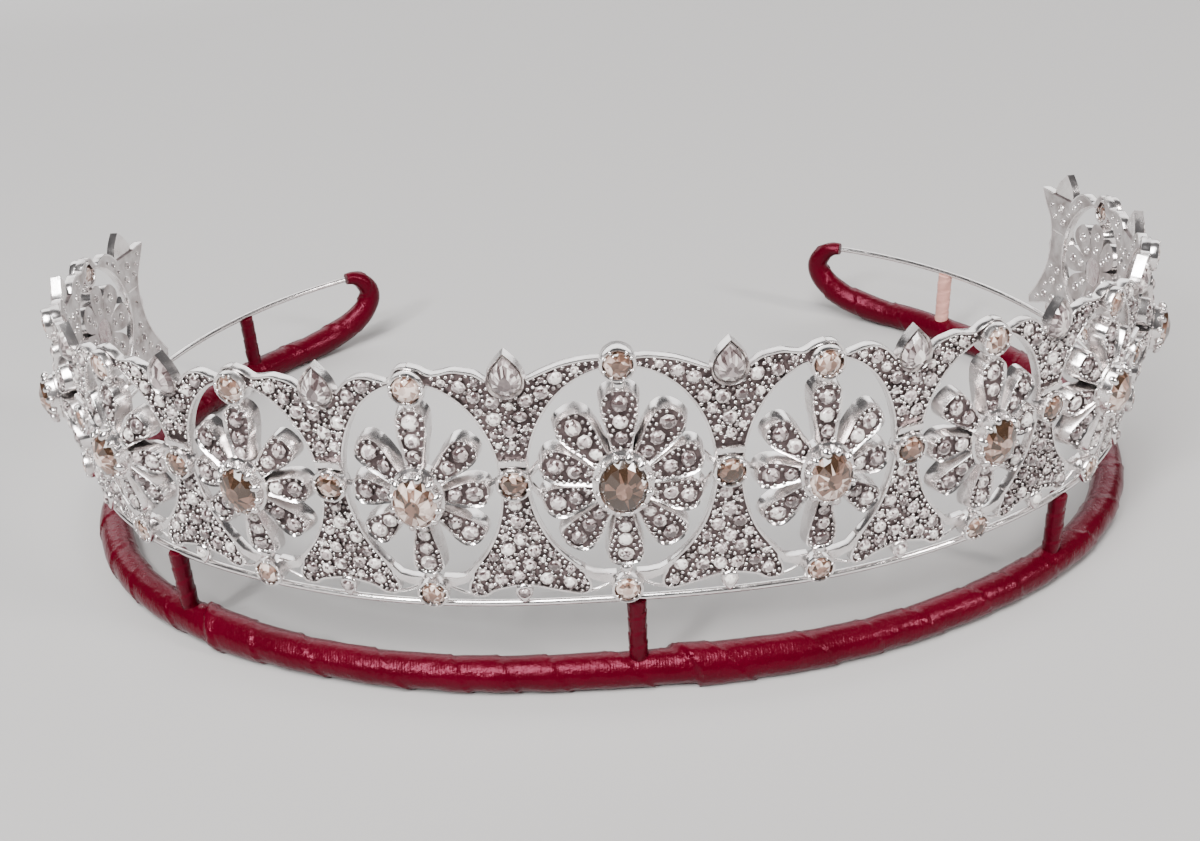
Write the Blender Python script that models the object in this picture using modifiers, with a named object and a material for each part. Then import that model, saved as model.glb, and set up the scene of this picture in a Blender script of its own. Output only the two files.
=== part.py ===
"""A silver openwork tiara with oval flower medallions, standing on a ribbon-wrapped frame.

The openwork is laid out flat first: X runs along the tiara, Y up and Z out of its face.
It is joined there into one solid and then bent round the head's plan curve.
Lengths are in millimetres until they reach Blender, which works in metres.
"""
import math

import bmesh
import bpy
from mathutils import Matrix, Vector

MM = 0.001

# Plan curve: how sharply the tiara bends at each distance along it from the middle.
# Columns: distance along the curve, curvature as one over the bend's radius.
PLAN_BENDS = (
    (0.0, 0.0027),
    (24.0, 0.0133),
    (48.0, 0.0105),
    (72.0, 0.0242),
    (96.0, 0.0239),
    (120.0, 0.0167),
    (164.0, 0.0158),
)
PLAN_STEP = 0.5

# Medallions and the fleurs between them
SIDE_MEDALLIONS = 5
CENTRE_PITCH = 24.0
SIDE_PITCH = 21.1
SIDE_PITCH_TAPER = 0.2
TIP_HEIGHT_MIDDLE = 34.4
TIP_DROP_PER_MEDALLION = 1.84
PLATE_DEPTH = 1.4
NECK_WIDTH = 2.9
OPENING_BOTTOM = 4.0
OPENING_BELOW_TIP = 2.8
CENTRE_OPENING_BELOW_TIP = 3.3
OPENING_POINTS = 20

# Heights below the pear's tip along the scalloped top edge
NOTCH_BELOW_TIP = 4.2
WING_BELOW_TIP = 2.0
BUMP_BELOW_TIP = 0.5
CENTRE_RIM_BELOW_TIP = 2.5

# Round collets
COLLET_RADIUS = 2.1
COLLET_WALL = 0.3
COLLET_BACK = -0.7
COLLET_FRONT = 1.7
POCKET_FLOOR = 0.9
COLLET_SIDES = 8
TOP_COLLET_BELOW_TIP = 3.2
CENTRE_COLLET_BELOW_TIP = 2.8
WAIST_SHARE = 0.515
BOTTOM_COLLET_HEIGHT = 2.2
BOTTOM_COLLET_RADIUS = 1.95

# Flowers
CENTRE_PETALS = 10
SIDE_PETALS = 8
CENTRE_PETAL_WIDTH = 4.7
SIDE_PETAL_WIDTH = 3.9
PETAL_BACK = -0.5
PETAL_FRONT = 2.0
PETAL_INNER_SHARE = 0.27
PETAL_TAPER = 0.88
SETTING_SIDES = 10
SETTING_WALL = 0.35
LONGEST_FACE = 12.0

# Wires and the wrapped frame
WIRE_RADIUS = 0.45
WIRE_POINT_SPACING = 6.5
BAND_RADIUS = 2.35
BAND_DROP = 10.8
BAND_FLAT = 0.2
BAND_POINT_SPACING = 6.5
RAIL_END = 159.4
POST_RADIUS = 1.15
GAP = 0.3

# The band's hooked tip, which ends face to face with the rail's end.
# Columns: distance along the curve, height above the base wire, radius.
BAND_LEVEL_END = 150.0
BAND_TIP = (
    (155.0, -10.2, 2.3),
    (159.4, -8.8, 2.2),
    (162.6, -6.3, 2.0),
    (163.8, -3.5, 1.8),
    (162.7, -1.2, 1.5),
    (161.2, -0.2, 1.2),
    (159.7, 0.0, 1.0),
)

# Columns: name, distance along the curve
POSTS = (
    ("post_front", 1.0),
    ("post_left", -60.0),
    ("post_right", 60.0),
    ("post_back_left", -139.0),
    ("post_back_right", 139.0),
)

BASE_WIRE_HEIGHT = BAND_DROP + BAND_RADIUS - BAND_FLAT


def clear_scene():
    for item in list(bpy.data.objects):
        bpy.data.objects.remove(item)


def new_collection(name):
    collection = bpy.data.collections.new(name)
    bpy.context.scene.collection.children.link(collection)
    return collection


def make_material(name, colour, roughness, metallic):
    material = bpy.data.materials.new(name)
    material.use_nodes = True
    shader = material.node_tree.nodes["Principled BSDF"]
    shader.inputs["Base Color"].default_value = (*colour, 1.0)
    shader.inputs["Roughness"].default_value = roughness
    shader.inputs["Metallic"].default_value = metallic
    return material


# The plan curve

def curvature(distance):
    """Curvature at a distance from the middle, straight between the table's rows."""
    reach = abs(distance)
    for (start, low), (end, high) in zip(PLAN_BENDS, PLAN_BENDS[1:]):
        if reach <= end:
            return low + (high - low) * (reach - start) / (end - start)
    return PLAN_BENDS[-1][1]


def walk_plan():
    """Points (x, y, heading) of one half of the curve, a step apart."""
    points = [(0.0, 0.0, 0.0)]
    steps = round(PLAN_BENDS[-1][0] / PLAN_STEP) + 8
    for index in range(steps):
        x, y, heading = points[-1]
        middle = heading + curvature(index * PLAN_STEP) * PLAN_STEP / 2
        x += math.cos(middle) * PLAN_STEP
        y += math.sin(middle) * PLAN_STEP
        heading += curvature((index + 0.5) * PLAN_STEP) * PLAN_STEP
        points.append((x, y, heading))
    return points


PLAN = walk_plan()


def plan_point(distance):
    """Place and heading at a distance along the curve; the left half mirrors the right."""
    side = -1.0 if distance < 0 else 1.0
    position = min(abs(distance) / PLAN_STEP, len(PLAN) - 1.001)
    index = int(position)
    share = position - index
    x, y, heading = (a + (b - a) * share for a, b in zip(PLAN[index], PLAN[index + 1]))
    return side * x, y, side * heading


def bend(along, up, out):
    """World place in metres of a point of the flat layout."""
    x, y, heading = plan_point(along)
    x += math.sin(heading) * out
    y -= math.cos(heading) * out
    return Vector((x, y, up + BASE_WIRE_HEIGHT)) * MM


def frame_at(along, up, out):
    """Matrix that stands a piece made in the flat layout at a place on the bent tiara."""
    _, _, heading = plan_point(along)
    tangent = Vector((math.cos(heading), math.sin(heading), 0.0))
    outward = Vector((math.sin(heading), -math.cos(heading), 0.0))
    turn = Matrix((tangent, (0.0, 0.0, 1.0), outward)).transposed()
    return Matrix.Translation(bend(along, up, out)) @ turn.to_4x4()


# The layout along the tiara

def pitch_of(index):
    """Width of one medallion's bay; the side ones shrink a little towards the ends."""
    if index == 0:
        return CENTRE_PITCH
    return SIDE_PITCH - SIDE_PITCH_TAPER * (abs(index) - 1)


def centre_of(index):
    """Distance along the curve of medallion 0, 1, 2 and so on, or of a half number for a fleur."""
    reach = abs(index)
    distance = 0.0 if reach < 0.5 else CENTRE_PITCH / 2
    for medallion in range(1, math.ceil(reach)):
        distance += pitch_of(medallion)
    if reach >= 1 and reach == int(reach):
        distance += pitch_of(reach) / 2
    return math.copysign(distance, index)


def tip_height(index):
    return TIP_HEIGHT_MIDDLE - TIP_DROP_PER_MEDALLION * abs(index)


def waist_height(index):
    return WAIST_SHARE * tip_height(index)


def top_collet_height(index):
    below = CENTRE_COLLET_BELOW_TIP if index == 0 else TOP_COLLET_BELOW_TIP
    return tip_height(index) - below


def medallions():
    return range(-SIDE_MEDALLIONS, SIDE_MEDALLIONS + 1)


def fleurs():
    return [index - 0.5 for index in range(-SIDE_MEDALLIONS, SIDE_MEDALLIONS + 2)]


# Meshes

def evaluated_mesh(item, name):
    """Mesh of an object as the viewport shows it, with its loose caps welded on."""
    graph = bpy.context.evaluated_depsgraph_get()
    mesh = bpy.data.meshes.new_from_object(item.evaluated_get(graph), depsgraph=graph)
    mesh.name = name
    work = bmesh.new()
    work.from_mesh(mesh)
    bmesh.ops.remove_doubles(work, verts=work.verts, dist=0.000001)
    bmesh.ops.recalc_face_normals(work, faces=work.faces)
    work.to_mesh(mesh)
    work.free()
    return mesh


def mesh_from(item, name):
    """The evaluated mesh of a helper object, which is then removed."""
    mesh = evaluated_mesh(item, name)
    bpy.data.objects.remove(item)
    return mesh


def place(mesh, collection, name, matrix=None):
    item = bpy.data.objects.new(name, mesh)
    collection.objects.link(item)
    if matrix is not None:
        item.matrix_world = matrix
    return item


def outline_mesh(name, outlines, depth, collection):
    """Flat plate from closed outlines in the XY plane; an outline inside another is a hole."""
    curve = bpy.data.curves.new(name, "CURVE")
    curve.dimensions = "2D"
    curve.fill_mode = "BOTH"
    curve.extrude = depth * MM / 2
    for outline in outlines:
        spline = curve.splines.new("POLY")
        spline.points.add(len(outline) - 1)
        for point, (x, y) in zip(spline.points, outline):
            point.co = (x * MM, y * MM, 0.0, 1.0)
        spline.use_cyclic_u = True
    return mesh_from(place(curve, collection, name), name)


def tube_mesh(name, path, radii, resolution, collection):
    """Round wire along a path, with a radius for each point, as a bevelled curve with caps."""
    curve = bpy.data.curves.new(name, "CURVE")
    curve.dimensions = "3D"
    curve.twist_mode = "Z_UP"
    curve.bevel_depth = MM
    curve.bevel_resolution = resolution
    curve.use_fill_caps = True
    spline = curve.splines.new("POLY")
    spline.points.add(len(path) - 1)
    for point, place_on_path, radius in zip(spline.points, path, radii):
        point.co = (*place_on_path, 1.0)
        point.radius = radius
    return mesh_from(place(curve, collection, name), name)


def turned_mesh(name, profile, sides, collection):
    """Solid turned about Z from a profile of (radius, height), down its outer side."""
    mesh = bpy.data.meshes.new(name)
    points = [(radius * MM, 0.0, height * MM) for radius, height in profile]
    mesh.from_pydata(points, [(i, i + 1) for i in range(len(points) - 1)], [])
    item = place(mesh, collection, name)
    screw = item.modifiers.new("turn", "SCREW")
    screw.steps = sides
    screw.render_steps = sides
    screw.use_merge_vertices = True
    screw.merge_threshold = 0.00001
    return mesh_from(item, name)


def box_mesh(name, size_x, size_y, size_z):
    mesh = bpy.data.meshes.new(name)
    work = bmesh.new()
    bmesh.ops.create_cube(work, size=1.0)
    bmesh.ops.scale(work, vec=Vector((size_x, size_y, size_z)) * MM, verts=work.verts)
    work.to_mesh(mesh)
    work.free()
    return mesh


def flat_place(x, y, z=0.0, turn=0.0, stretch=(1.0, 1.0)):
    """Matrix for a piece in the flat layout: stretched, turned in the face, then moved."""
    size = Matrix.Diagonal((stretch[0], stretch[1], 1.0, 1.0))
    return Matrix.Translation(Vector((x, y, z)) * MM) @ Matrix.Rotation(turn, 4, "Z") @ size


# Openwork, piece by piece in the flat layout

def half_top_edge(fleur, side):
    """Scalloped top edge from a pear setting's side to the medallion on one side of it."""
    start = centre_of(fleur)
    tip = tip_height(fleur)
    medallion = fleur + 0.5 * side
    end = centre_of(medallion)
    medallion_tip = tip_height(medallion)
    edge = [
        (start + side * 2.3, tip - NOTCH_BELOW_TIP),
        (start + side * 3.3, tip - 3.3),
        (start + side * 4.7, tip - 2.5),
        (start + side * 6.2, tip - WING_BELOW_TIP),
    ]
    if medallion == 0:
        edge.append((end - side * 3.4, medallion_tip - CENTRE_RIM_BELOW_TIP))
        edge.append((end - side * 1.2, medallion_tip - CENTRE_RIM_BELOW_TIP))
        return edge
    edge.append((end - side * 3.2, medallion_tip - WING_BELOW_TIP - 0.1))
    edge.append((end - side * 2.3, medallion_tip - 1.5))
    edge.append((end - side * 1.2, medallion_tip - BUMP_BELOW_TIP - 0.2))
    return edge


def end_edge(side):
    """Outer side of the last fleur, from its pear setting down to the base wire."""
    fleur = side * (SIDE_MEDALLIONS + 0.5)
    start = centre_of(fleur)
    tip = tip_height(fleur)
    waist = waist_height(fleur)
    return [
        (start + side * 2.3, tip - NOTCH_BELOW_TIP),
        (start + side * 3.4, tip - 3.5),
        (start + side * 4.6, tip - 3.4),
        (start + side * 3.6, tip - 5.2),
        (start + side * 2.0, waist + 4.0),
        (start + side * NECK_WIDTH / 2, waist + 1.5),
        (start + side * NECK_WIDTH / 2, waist - 1.5),
        (start + side * 1.9, waist - 4.2),
        (start + side * 3.2, waist - 7.2),
        (start + side * 5.0, 2.3),
        (start + side * 5.0, 1.5),
        (start + side * 3.4, 1.8),
    ]


def half_bottom_edge(fleur, side):
    """Arched bottom edge from the middle of a fleur to the medallion on one side of it."""
    start = centre_of(fleur)
    end = centre_of(fleur + 0.5 * side)
    return [
        (start + side * 2.6, 3.0),
        (end - side * 5.4, 1.9),
        (end - side * 4.2, 1.5),
        (end - side * 1.1, 1.8),
    ]


def plate_outline():
    """Whole outer outline of the openwork: left end, top edge, right end, bottom edge."""
    last = SIDE_MEDALLIONS + 0.5
    outline = list(reversed(end_edge(-1)))
    for fleur in fleurs():
        if fleur > -last:
            outline += list(reversed(half_top_edge(fleur, -1)))
        if fleur < last:
            outline += half_top_edge(fleur, 1)
            medallion = fleur + 0.5
            if medallion != 0:
                top = tip_height(medallion) - BUMP_BELOW_TIP
                outline.append((centre_of(medallion), top))
    outline += end_edge(1)
    for fleur in reversed(fleurs()):
        if fleur < last:
            outline += list(reversed(half_bottom_edge(fleur, 1)))
        outline.append((centre_of(fleur), 3.4))
        if fleur > -last:
            outline += half_bottom_edge(fleur, -1)
    return outline


def opening_outline(index):
    """Oval opening of one medallion."""
    below = CENTRE_OPENING_BELOW_TIP if index == 0 else OPENING_BELOW_TIP
    top = tip_height(index) - below
    middle = (top + OPENING_BOTTOM) / 2
    half_height = (top - OPENING_BOTTOM) / 2
    half_width = (pitch_of(index) - NECK_WIDTH) / 2
    points = []
    for step in range(OPENING_POINTS):
        angle = 2 * math.pi * step / OPENING_POINTS
        x = centre_of(index) + half_width * math.cos(angle)
        points.append((x, middle + half_height * math.sin(angle)))
    return points


def petal_mesh(length, width, collection):
    """Box petal along +X from its inner end at 0, its front a little smaller than its back."""
    half = width / 2
    lower = [(0.0, -0.42), (0.58, -1.0), (0.88, -0.78)]
    upper = [(share, -wide) for share, wide in reversed(lower)]
    outline = [(share * length, wide * half) for share, wide in lower + [(1.0, 0.0)] + upper]
    mesh = outline_mesh("petal", [outline], PETAL_FRONT - PETAL_BACK, collection)
    middle = length * 0.55 * MM
    for vertex in mesh.vertices:
        if vertex.co.z > 0:
            vertex.co.x = middle + (vertex.co.x - middle) * PETAL_TAPER
            vertex.co.y *= PETAL_TAPER
    return mesh


def flower_size(index):
    """Middle height, half width and half height of a medallion's flower."""
    upper = top_collet_height(index) - COLLET_RADIUS
    lower = BOTTOM_COLLET_HEIGHT + BOTTOM_COLLET_RADIUS
    half_width = pitch_of(index) / 2 - COLLET_RADIUS - 0.4
    return (upper + lower) / 2, half_width, (upper - lower) / 2 - 0.25


def add_flower(index, collection):
    """Petals of one medallion, with the pegs and links that hold them in the ring."""
    middle, half_width, half_height = flower_size(index)
    centre = centre_of(index)
    count = CENTRE_PETALS if index == 0 else SIDE_PETALS
    width = CENTRE_PETAL_WIDTH if index == 0 else SIDE_PETAL_WIDTH
    shrink = min(1.0, half_height / (0.95 * half_width))
    depth = (PETAL_FRONT + PETAL_BACK) / 2
    for number in range(count):
        angle = math.pi / 2 + 2 * math.pi * number / count
        reach = 1 / math.hypot(math.cos(angle) / half_width, math.sin(angle) / half_height)
        inner = PETAL_INNER_SHARE * reach
        mesh = petal_mesh(reach - inner, width * shrink, collection)
        x = centre + inner * math.cos(angle)
        y = middle + inner * math.sin(angle)
        place(mesh, collection, "petal", flat_place(x, y, depth, angle))
    link = box_mesh("link", 1.3, 1.3, 1.6)
    for height in (middle + half_height + 0.15, middle - half_height - 0.15):
        place(link, collection, "link", flat_place(centre, height, PETAL_BACK + 0.8))
    for side in (-1, 1):
        waist = waist_height(index + 0.5 * side)
        if index == 0:
            peg = box_mesh("peg", 0.9, 2.4, 1.2)
            for turn in (-1, 1):
                y = waist + (middle - waist) / 2 + turn * 1.75
                matrix = flat_place(side * 9.85, y, PETAL_BACK + 0.6, side * turn * 0.45)
                place(peg, collection, "peg", matrix)
        else:
            peg = box_mesh("peg", 1.7, 0.9, 1.2)
            x = centre + side * (half_width + 0.15)
            place(peg, collection, "peg", flat_place(x, (waist + middle) / 2, PETAL_BACK + 0.6))


def collet_profile(radius):
    """Cup that a round stone drops into."""
    inner = radius - COLLET_WALL
    return [
        (0.0, POCKET_FLOOR),
        (inner, POCKET_FLOOR),
        (inner, COLLET_FRONT),
        (radius, COLLET_FRONT),
        (radius, COLLET_BACK),
        (0.0, COLLET_BACK),
    ]


def filled_collet_profile(radius):
    """Collet with its stone fused in: a table, sloping crown facets and the collet's lip."""
    return [
        (0.0, COLLET_FRONT + 0.5),
        (radius * 0.45, COLLET_FRONT + 0.5),
        (radius - COLLET_WALL, COLLET_FRONT - 0.1),
        (radius, COLLET_FRONT - 0.1),
        (radius, COLLET_BACK),
        (0.0, COLLET_BACK),
    ]


def add_collets(collection):
    cup = turned_mesh("collet", collet_profile(COLLET_RADIUS), COLLET_SIDES, collection)
    filled = turned_mesh("filled", filled_collet_profile(BOTTOM_COLLET_RADIUS), 8, collection)
    bar = box_mesh("bar", 3.3, 1.3, 2.2)
    for index in medallions():
        x = centre_of(index)
        place(cup, collection, "collet", flat_place(x, top_collet_height(index)))
        place(filled, collection, "collet", flat_place(x, BOTTOM_COLLET_HEIGHT))
    for index in fleurs():
        x = centre_of(index)
        waist = waist_height(index)
        place(cup, collection, "collet", flat_place(x, waist))
        place(bar, collection, "bar", flat_place(x, waist + COLLET_RADIUS + 0.4, COLLET_BACK + 1.1))


def setting_heights(index):
    """Floor and front of a centre stone's setting; the side ones stand further out."""
    return (2.2, 3.2) if index == 0 else (3.2, 4.2)


def setting_size(index):
    """Half width and half height of a centre stone's setting."""
    shrink = 1.0 - 0.035 * max(abs(index) - 1, 0)
    return (3.1, 3.9) if index == 0 else (2.95 * shrink, 3.55 * shrink)


def add_settings(collection):
    for index in medallions():
        floor, front = setting_heights(index)
        half_width, half_height = setting_size(index)
        inner = 1.0 - SETTING_WALL / half_width
        profile = [(0.0, floor), (inner, floor), (inner, front), (1.0, front)]
        profile += [(1.0, PETAL_BACK), (0.0, PETAL_BACK)]
        mesh = turned_mesh("setting", profile, SETTING_SIDES, collection)
        middle = flower_size(index)[0]
        matrix = flat_place(centre_of(index), middle, stretch=(half_width, half_height))
        place(mesh, collection, "setting", matrix)


def add_pears_and_drops(collection):
    """Pointed pear settings on the top edge and small round drops on the base wire."""
    half_pear = [(0.0, 0.0), (0.9, -1.3), (2.0, -2.7), (2.3, -4.2), (1.3, -5.8)]
    pear_outline = half_pear + [(-x, y) for x, y in reversed(half_pear[1:])]
    pear = outline_mesh("pear", [pear_outline], 2.6, collection)
    for vertex in pear.vertices:
        if vertex.co.z > 0:
            vertex.co.x *= 0.7
            vertex.co.y = -3.4 * MM + (vertex.co.y + 3.4 * MM) * 0.75
    drop = turned_mesh("drop", [(0.0, 1.3), (0.5, 1.3), (1.0, 0.6), (1.0, -0.6), (0.0, -0.6)], 6, collection)
    drop.transform(Matrix.Rotation(math.pi / 6, 4, "Z"))
    for index in fleurs():
        x = centre_of(index)
        place(pear, collection, "pear", flat_place(x, tip_height(index), 0.6))
        place(drop, collection, "drop", flat_place(x, 1.9, stretch=(1.0, 1.65)))


def spaced(start, end, spacing):
    """Evenly spaced distances from start to end."""
    count = round((end - start) / spacing)
    return [start + (end - start) * step / count for step in range(count + 1)]


def join_all(base, others, name):
    """One solid from a base object and every object of a collection."""
    union = base.modifiers.new("union", "BOOLEAN")
    union.operation = "UNION"
    union.operand_type = "COLLECTION"
    union.collection = others
    union.solver = "EXACT"
    return evaluated_mesh(base, name)


def face_span(face):
    """Extent of a face along the tiara."""
    along = [vertex.co.x for vertex in face.verts]
    return min(along), max(along)


def prepare_to_bend(mesh):
    """Merge what lies in one plane, then cut the wide faces at each fleur and medallion."""
    work = bmesh.new()
    work.from_mesh(mesh)
    bmesh.ops.dissolve_limit(work, angle_limit=0.01, verts=work.verts, edges=work.edges)
    for half in range(-2 * SIDE_MEDALLIONS - 1, 2 * SIDE_MEDALLIONS + 2):
        cut = centre_of(half / 2) * MM
        wide = []
        for face in work.faces:
            low, high = face_span(face)
            if low < cut < high and high - low > LONGEST_FACE * MM:
                wide.append(face)
        edges = {edge for face in wide for edge in face.edges}
        corners = {vertex for face in wide for vertex in face.verts}
        bmesh.ops.bisect_plane(
            work, geom=wide + list(edges) + list(corners), dist=0.000001,
            plane_co=(cut, 0.0, 0.0), plane_no=(1.0, 0.0, 0.0))
    bmesh.ops.triangulate(work, faces=work.faces)
    work.to_mesh(mesh)
    work.free()


def close_and_triangulate(mesh):
    """Triangles all over, with the hairline seams beside the cuts closed."""
    work = bmesh.new()
    work.from_mesh(mesh)
    bmesh.ops.triangulate(work, faces=work.faces)
    loose = [edge for edge in work.edges if not edge.link_faces]
    bmesh.ops.delete(work, geom=loose, context="EDGES")
    open_edges = [edge for edge in work.edges if len(edge.link_faces) == 1]
    bmesh.ops.holes_fill(work, edges=open_edges, sides=4)
    bmesh.ops.triangulate(work, faces=work.faces)
    bmesh.ops.recalc_face_normals(work, faces=work.faces)
    work.to_mesh(mesh)
    work.free()


def build_metalwork(parts, helpers, material):
    """The soldered openwork with its base wire and rail: joined flat, then bent."""
    outlines = [plate_outline()] + [opening_outline(index) for index in medallions()]
    elements = new_collection("elements")
    plate = place(outline_mesh("plate", outlines, PLATE_DEPTH, helpers), helpers, "plate")
    for index in medallions():
        add_flower(index, elements)
    add_collets(elements)
    add_settings(elements)
    add_pears_and_drops(elements)
    openwork = join_all(plate, elements, "openwork")
    prepare_to_bend(openwork)

    path = [Vector((s, 0.0, 0.0)) * MM for s in spaced(-RAIL_END, RAIL_END, WIRE_POINT_SPACING)]
    wires = new_collection("wires")
    radii = [WIRE_RADIUS] * len(path)
    place(tube_mesh("base_wire", path, radii, 1, helpers), wires, "base_wire")
    metal = join_all(place(openwork, helpers, "openwork"), wires, "metalwork")
    close_and_triangulate(metal)
    for vertex in metal.vertices:
        vertex.co = bend(*(vertex.co / MM))
    for collection in (elements, wires):
        for item in list(collection.objects):
            bpy.data.objects.remove(item)
        bpy.data.collections.remove(collection)
    for item in list(helpers.objects):
        bpy.data.objects.remove(item)
    metal.materials.append(material)
    return place(metal, parts, "metalwork")


# Stones of their own

def stone_mesh(name, radius, height, back, sides):
    """Cut stone about Z: a table, a ring of crown facets, a girdle and a short tapered back."""
    mesh = bpy.data.meshes.new(name)
    work = bmesh.new()
    bmesh.ops.create_cone(
        work, cap_ends=True, segments=sides, radius1=radius * MM, radius2=radius * 0.55 * MM,
        depth=height * MM, matrix=Matrix.Translation((0.0, 0.0, height * MM / 2)))
    girdle = min(work.faces, key=lambda face: face.calc_center_median().z)
    result = bmesh.ops.extrude_face_region(work, geom=[girdle])
    tail = [v for v in result["geom"] if isinstance(v, bmesh.types.BMVert)]
    bmesh.ops.delete(work, geom=[girdle], context="FACES_ONLY")
    bmesh.ops.translate(work, vec=(0.0, 0.0, -back * MM), verts=tail)
    bmesh.ops.scale(work, vec=(0.82, 0.82, 1.0), verts=tail)
    bmesh.ops.recalc_face_normals(work, faces=work.faces)
    work.to_mesh(mesh)
    work.free()
    return mesh


def signed_name(kind, index):
    """Name such as top_stone_left_2, or top_stone_middle; fleurs count outwards from 1."""
    if index == 0:
        return f"{kind}_middle"
    side = "left" if index < 0 else "right"
    return f"{kind}_{side}_{math.ceil(abs(index))}"


def build_stones(parts, centre_material, small_material):
    small = stone_mesh("small_stone", COLLET_RADIUS - COLLET_WALL - 0.22, 0.65, 0.35, COLLET_SIDES)
    small.materials.append(small_material)
    seat = POCKET_FLOOR + 0.25 + 0.35
    for index in medallions():
        matrix = frame_at(centre_of(index), top_collet_height(index), seat)
        place(small, parts, signed_name("top_stone", index), matrix)
        half_width, half_height = setting_size(index)
        mesh = stone_mesh("centre_stone", 1.0, 1.6, 0.5, SETTING_SIDES)
        clear = SETTING_WALL + 0.28
        size = Matrix.Diagonal((half_width - clear, half_height - clear, 1.0, 1.0))
        mesh.transform(size)
        mesh.materials.append(centre_material)
        floor = setting_heights(index)[0]
        matrix = frame_at(centre_of(index), flower_size(index)[0], floor + 0.3 + 0.5)
        place(mesh, parts, signed_name("centre_stone", index), matrix)
    for index in fleurs():
        matrix = frame_at(centre_of(index), waist_height(index), seat)
        place(small, parts, signed_name("waist_stone", index), matrix)


# The wrapped frame

def band_path():
    """Places and radii along the band: level below the tiara, then hooked up at each tip."""
    places = [(s, -BAND_DROP, BAND_RADIUS) for s in spaced(-BAND_LEVEL_END, BAND_LEVEL_END, BAND_POINT_SPACING)]
    left = [(-along, up, radius) for along, up, radius in reversed(BAND_TIP)]
    return left + places + list(BAND_TIP)


def build_band(parts, helpers, material):
    """Ribbon-wound tube, pressed flat along the underside that it rests on."""
    path = band_path()
    places = [bend(along, up, 0.0) for along, up, _ in path]
    radii = [radius for _, _, radius in path]
    mesh = tube_mesh("wrapped_band", places, radii, 3, helpers)
    mesh.materials.append(material)
    band = place(mesh, parts, "wrapped_band")
    floor = box_mesh("floor_cut", 400.0, 400.0, 20.0)
    cutter = place(floor, helpers, "floor_cut", Matrix.Translation((0.0, 0.0, -10.0 * MM)))
    cutter.hide_render = True
    cutter.display_type = "WIRE"
    cut = band.modifiers.new("flat_underside", "BOOLEAN")
    cut.operation = "DIFFERENCE"
    cut.solver = "EXACT"
    cut.object = cutter
    return band


def build_posts(parts, material):
    top = -WIRE_RADIUS - GAP
    bottom = -BAND_DROP + BAND_RADIUS + GAP
    for name, along in POSTS:
        mesh = bpy.data.meshes.new(name)
        work = bmesh.new()
        bmesh.ops.create_cone(
            work, cap_ends=True, segments=10, radius1=POST_RADIUS * MM, radius2=POST_RADIUS * MM,
            depth=(top - bottom) * MM)
        work.to_mesh(mesh)
        work.free()
        mesh.materials.append(material)
        _, _, heading = plan_point(along)
        turn = Matrix.Rotation(heading, 4, "Z")
        place(mesh, parts, name, Matrix.Translation(bend(along, (top + bottom) / 2, 0.0)) @ turn)


def centre_on_origin(parts, helpers):
    """Bring the middle of the whole outline over the origin, front to back."""
    bpy.context.view_layer.update()
    depths = []
    for item in parts.objects:
        depths += [(item.matrix_world @ Vector(corner)).y for corner in item.bound_box]
    shift = Matrix.Translation((0.0, -(min(depths) + max(depths)) / 2, 0.0))
    for item in list(parts.objects) + list(helpers.objects):
        item.matrix_world = shift @ item.matrix_world


def smooth_round_pieces(parts):
    for item in parts.objects:
        item.data.shade_smooth()
        item.data.set_sharp_from_angle(angle=math.radians(30))


def main():
    clear_scene()
    parts = new_collection("tiara")
    helpers = new_collection("cutters")
    silver = make_material("silver", (0.80, 0.78, 0.77), 0.22, 1.0)
    champagne = make_material("champagne_stone", (0.62, 0.50, 0.44), 0.08, 0.0)
    pale = make_material("pale_stone", (0.80, 0.71, 0.69), 0.08, 0.0)
    ribbon = make_material("red_ribbon", (0.36, 0.01, 0.04), 0.45, 0.0)
    build_metalwork(parts, helpers, silver)
    build_stones(parts, champagne, pale)
    build_band(parts, helpers, ribbon)
    build_posts(parts, ribbon)
    smooth_round_pieces(parts)
    centre_on_origin(parts, helpers)


main()
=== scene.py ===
"""Openwork flower tiara in silver and pinkish-brown stones, on a ribbon-wrapped ring."""

import math

import bmesh
import bpy
import numpy as np
from mathutils import Euler, Matrix, Vector


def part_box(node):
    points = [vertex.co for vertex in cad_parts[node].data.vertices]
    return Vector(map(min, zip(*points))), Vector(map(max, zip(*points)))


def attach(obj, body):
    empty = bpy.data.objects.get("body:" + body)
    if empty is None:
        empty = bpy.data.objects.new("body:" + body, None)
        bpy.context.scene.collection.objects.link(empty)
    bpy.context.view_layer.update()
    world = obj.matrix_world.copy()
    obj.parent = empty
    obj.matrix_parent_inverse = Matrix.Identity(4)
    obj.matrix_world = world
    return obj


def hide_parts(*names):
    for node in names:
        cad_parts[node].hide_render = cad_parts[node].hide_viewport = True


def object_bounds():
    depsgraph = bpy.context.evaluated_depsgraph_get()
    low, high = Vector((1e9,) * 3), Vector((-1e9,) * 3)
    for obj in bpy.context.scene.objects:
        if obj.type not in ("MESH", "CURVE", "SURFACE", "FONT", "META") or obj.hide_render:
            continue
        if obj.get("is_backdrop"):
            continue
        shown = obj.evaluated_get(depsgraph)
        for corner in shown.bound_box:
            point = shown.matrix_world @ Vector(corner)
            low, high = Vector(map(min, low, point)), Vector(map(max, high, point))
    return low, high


bl_info = {
    "name": "Openwork Flower Tiara",
    "version": (1, 0, 0),
    "blender": (4, 5, 0),
    "location": "View3D > Sidebar > Tiara",
    "description": "Dresses the tiara's frame with pierced silver, set stones and wound ribbon",
    "category": "Add Mesh",
}

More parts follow.
